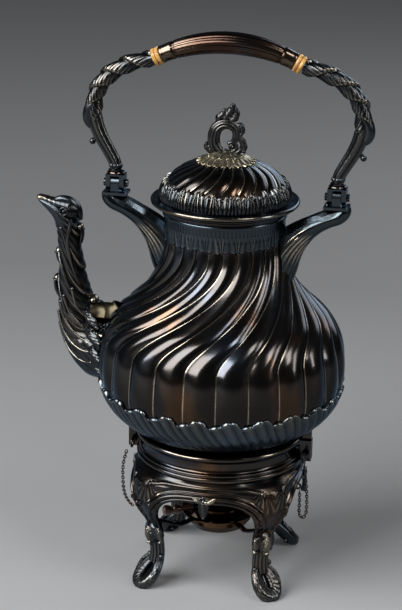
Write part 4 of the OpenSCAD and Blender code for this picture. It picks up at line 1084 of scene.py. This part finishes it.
def chain(points, flat):
    """Small oval links strung along a path, each a quarter turn from the last."""
    p = smooth(points, 12)
    gone = np.concatenate([[0], np.cumsum(np.linalg.norm(np.diff(p, axis=0), axis=1))])
    turn = TAU * np.arange(13)[:, None] / 12
    links = []
    for i in range(int(gone[-1] / LINK_PITCH)):
        middle = (i + 0.5) * LINK_PITCH
        ends = np.stack([np.interp([middle - 0.2, middle + 0.2], gone, p[:, k]) for k in range(3)], 1)
        along = unit(ends[1] - ends[0])
        side = unit(np.cross(along, flat))
        across = side if i % 2 else np.cross(side, along)
        loop = ends.mean(0) + LINK_LONG * np.sin(turn) * along + LINK_WIDE * np.cos(turn) * across
        links.append(tube(loop, LINK_WIRE, LINK_WIRE, 6, np.cross(along, across)))
    return links


for word, points, flat in CHAINS:
    between = ("stand", "pin_" + word, points[-1], points[0])
    piece("fine_chain_" + word, chain(points, flat), SILVER, between, ["chain_" + word])

# ---------- camera, light and floor ----------

CAMERA_FROM_AXIS = (225.2, -1278.3, 662.0)
CAMERA_YAW, CAMERA_PITCH, CAMERA_ROLL = 10.72, 19.05, 0.99
CAMERA_LENS = 108.17


def look(yaw, pitch, roll):
    """Rotation matrix of a camera turned to the left by yaw, down by pitch and about its own line by roll."""
    y, p, r = (math.radians(a) for a in (yaw, pitch, roll))
    forward = np.array([-math.sin(y) * math.cos(p), math.cos(y) * math.cos(p), -math.sin(p)])
    right = unit(np.cross(forward, [0, 0, 1]))
    up = np.cross(right, forward)
    right, up = right * math.cos(r) + up * math.sin(r), up * math.cos(r) - right * math.sin(r)
    return Matrix(np.stack([right, up, -forward], 1).tolist())


camera = new_object("camera", bpy.data.cameras.new("camera"))
camera.data.lens = CAMERA_LENS
camera.data.clip_end = 20
camera.location = metres(CAMERA_FROM_AXIS)
camera.rotation_mode = "QUATERNION"
camera.rotation_quaternion = look(CAMERA_YAW, CAMERA_PITCH, CAMERA_ROLL).to_quaternion()
bpy.context.scene.camera = camera

LIT_POINT = Vector((0, 0, 0.22))


def softbox(name, location, size, power):
    """A rectangular area lamp that looks at the kettle."""
    data = bpy.data.lights.new(name, "AREA")
    data.shape = "RECTANGLE"
    data.size, data.size_y = size
    data.energy = power
    lamp = new_object(name, data)
    lamp.location = location
    lamp.rotation_mode = "QUATERNION"
    lamp.rotation_quaternion = (LIT_POINT - Vector(location)).to_track_quat("-Z", "Y")


softbox("key", (-1.75, -1.65, 2.05), (2.6, 2.3), 290)
softbox("top", (1.05, -0.8, 1.9), (0.45, 1.0), 18)
softbox("right", (1.9, -0.35, 1.1), (0.3, 1.3), 14)
softbox("back", (0.9, 1.9, 1.2), (1.6, 1.0), 18)

ROOM = (0.6, 0.62, 0.65, 1)
ROOM_STRENGTH = 0.11
world = bpy.data.worlds.new("studio")
bpy.context.scene.world = world
world.use_nodes = True
feed(world.node_tree, world.node_tree.nodes["Background"], {"Color": ROOM, "Strength": ROOM_STRENGTH})


def floor_material():
    """A plain matt floor, painted darker behind the kettle: painted shade for the light's fall-off. Far out
    it takes the colour of the room above it, so that no edge shows between them."""
    mat, tree, shader = new_material("floor")
    point = object_point(tree)
    near = ramp(tree, noise(tree, 3, 2), [(0.3, (0.18, 0.182, 0.185)), (0.7, (0.195, 0.197, 0.2))])
    behind = node(tree, "ShaderNodeSeparateXYZ", {"Vector": point}).outputs["Y"]
    # Painted shade: the floor's colour darkens from near to far behind the kettle.
    colour = mix(tree, scaled(tree, behind, 0, 1, -0.1, 0.7), near, (0.102, 0.103, 0.105))
    feed(tree, shader, {"Base Color": colour, "Roughness": 0.7})
    distance = node(tree, "ShaderNodeVectorMath", {0: point}, operation="LENGTH").outputs["Value"]
    rays = node(tree, "ShaderNodeLightPath").outputs
    seen = rays["Is Camera Ray"]
    for ray in ("Is Glossy Ray", "Is Transmission Ray"):
        seen = maths(tree, "MAXIMUM", seen, rays[ray])
    fade = maths(tree, "MULTIPLY", scaled(tree, distance, 0, 1, 1.2, 4.5), seen)
    room = node(tree, "ShaderNodeEmission", {"Color": ROOM, "Strength": ROOM_STRENGTH})
    mixed = node(tree, "ShaderNodeMixShader", {0: fade, 1: shader.outputs[0], 2: room.outputs[0]})
    tree.links.new(mixed.outputs[0], tree.nodes["Material Output"].inputs["Surface"])
    return mat


def floor_plane():
    """A wide plain floor, just under the feet."""
    half, z = 9.0, -0.0002
    mesh = bpy.data.meshes.new("floor")
    corners = [(-half, -half, z), (half, -half, z), (half, half, z), (-half, half, z)]
    mesh.from_pydata(corners, [], [[0, 1, 2, 3]])
    mesh.materials.append(floor_material())
    obj = new_object("floor", mesh)


floor_plane()
bpy.context.scene.view_settings.view_transform = "Standard"

# ---------- materials of the CAD nodes that show; the lamp's is painted reflection ---

NODE_MATERIALS = {"lamp_dish": WARM_GLINT_SILVER, "lamp_reservoir": WARM_GLINT_SILVER, "lamp_cover": WARM_GLINT_SILVER, "lamp_handle": WOOD,
            "wick": COTTON, "lid_rosette": PALE_HIGHLIGHT_SILVER, "finial": GREY, "apron_pendants": PALE_HIGHLIGHT_SILVER}
for _, word in SIDES:
    NODE_MATERIALS["handle_knuckle_" + word] = NODE_MATERIALS["handle_bracket_" + word] = STEEL
    NODE_MATERIALS["insulator_" + word] = IVORY
for name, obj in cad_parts.items():
    obj.data.materials.clear()
    obj.data.materials.append(NODE_MATERIALS.get(name, SILVER))
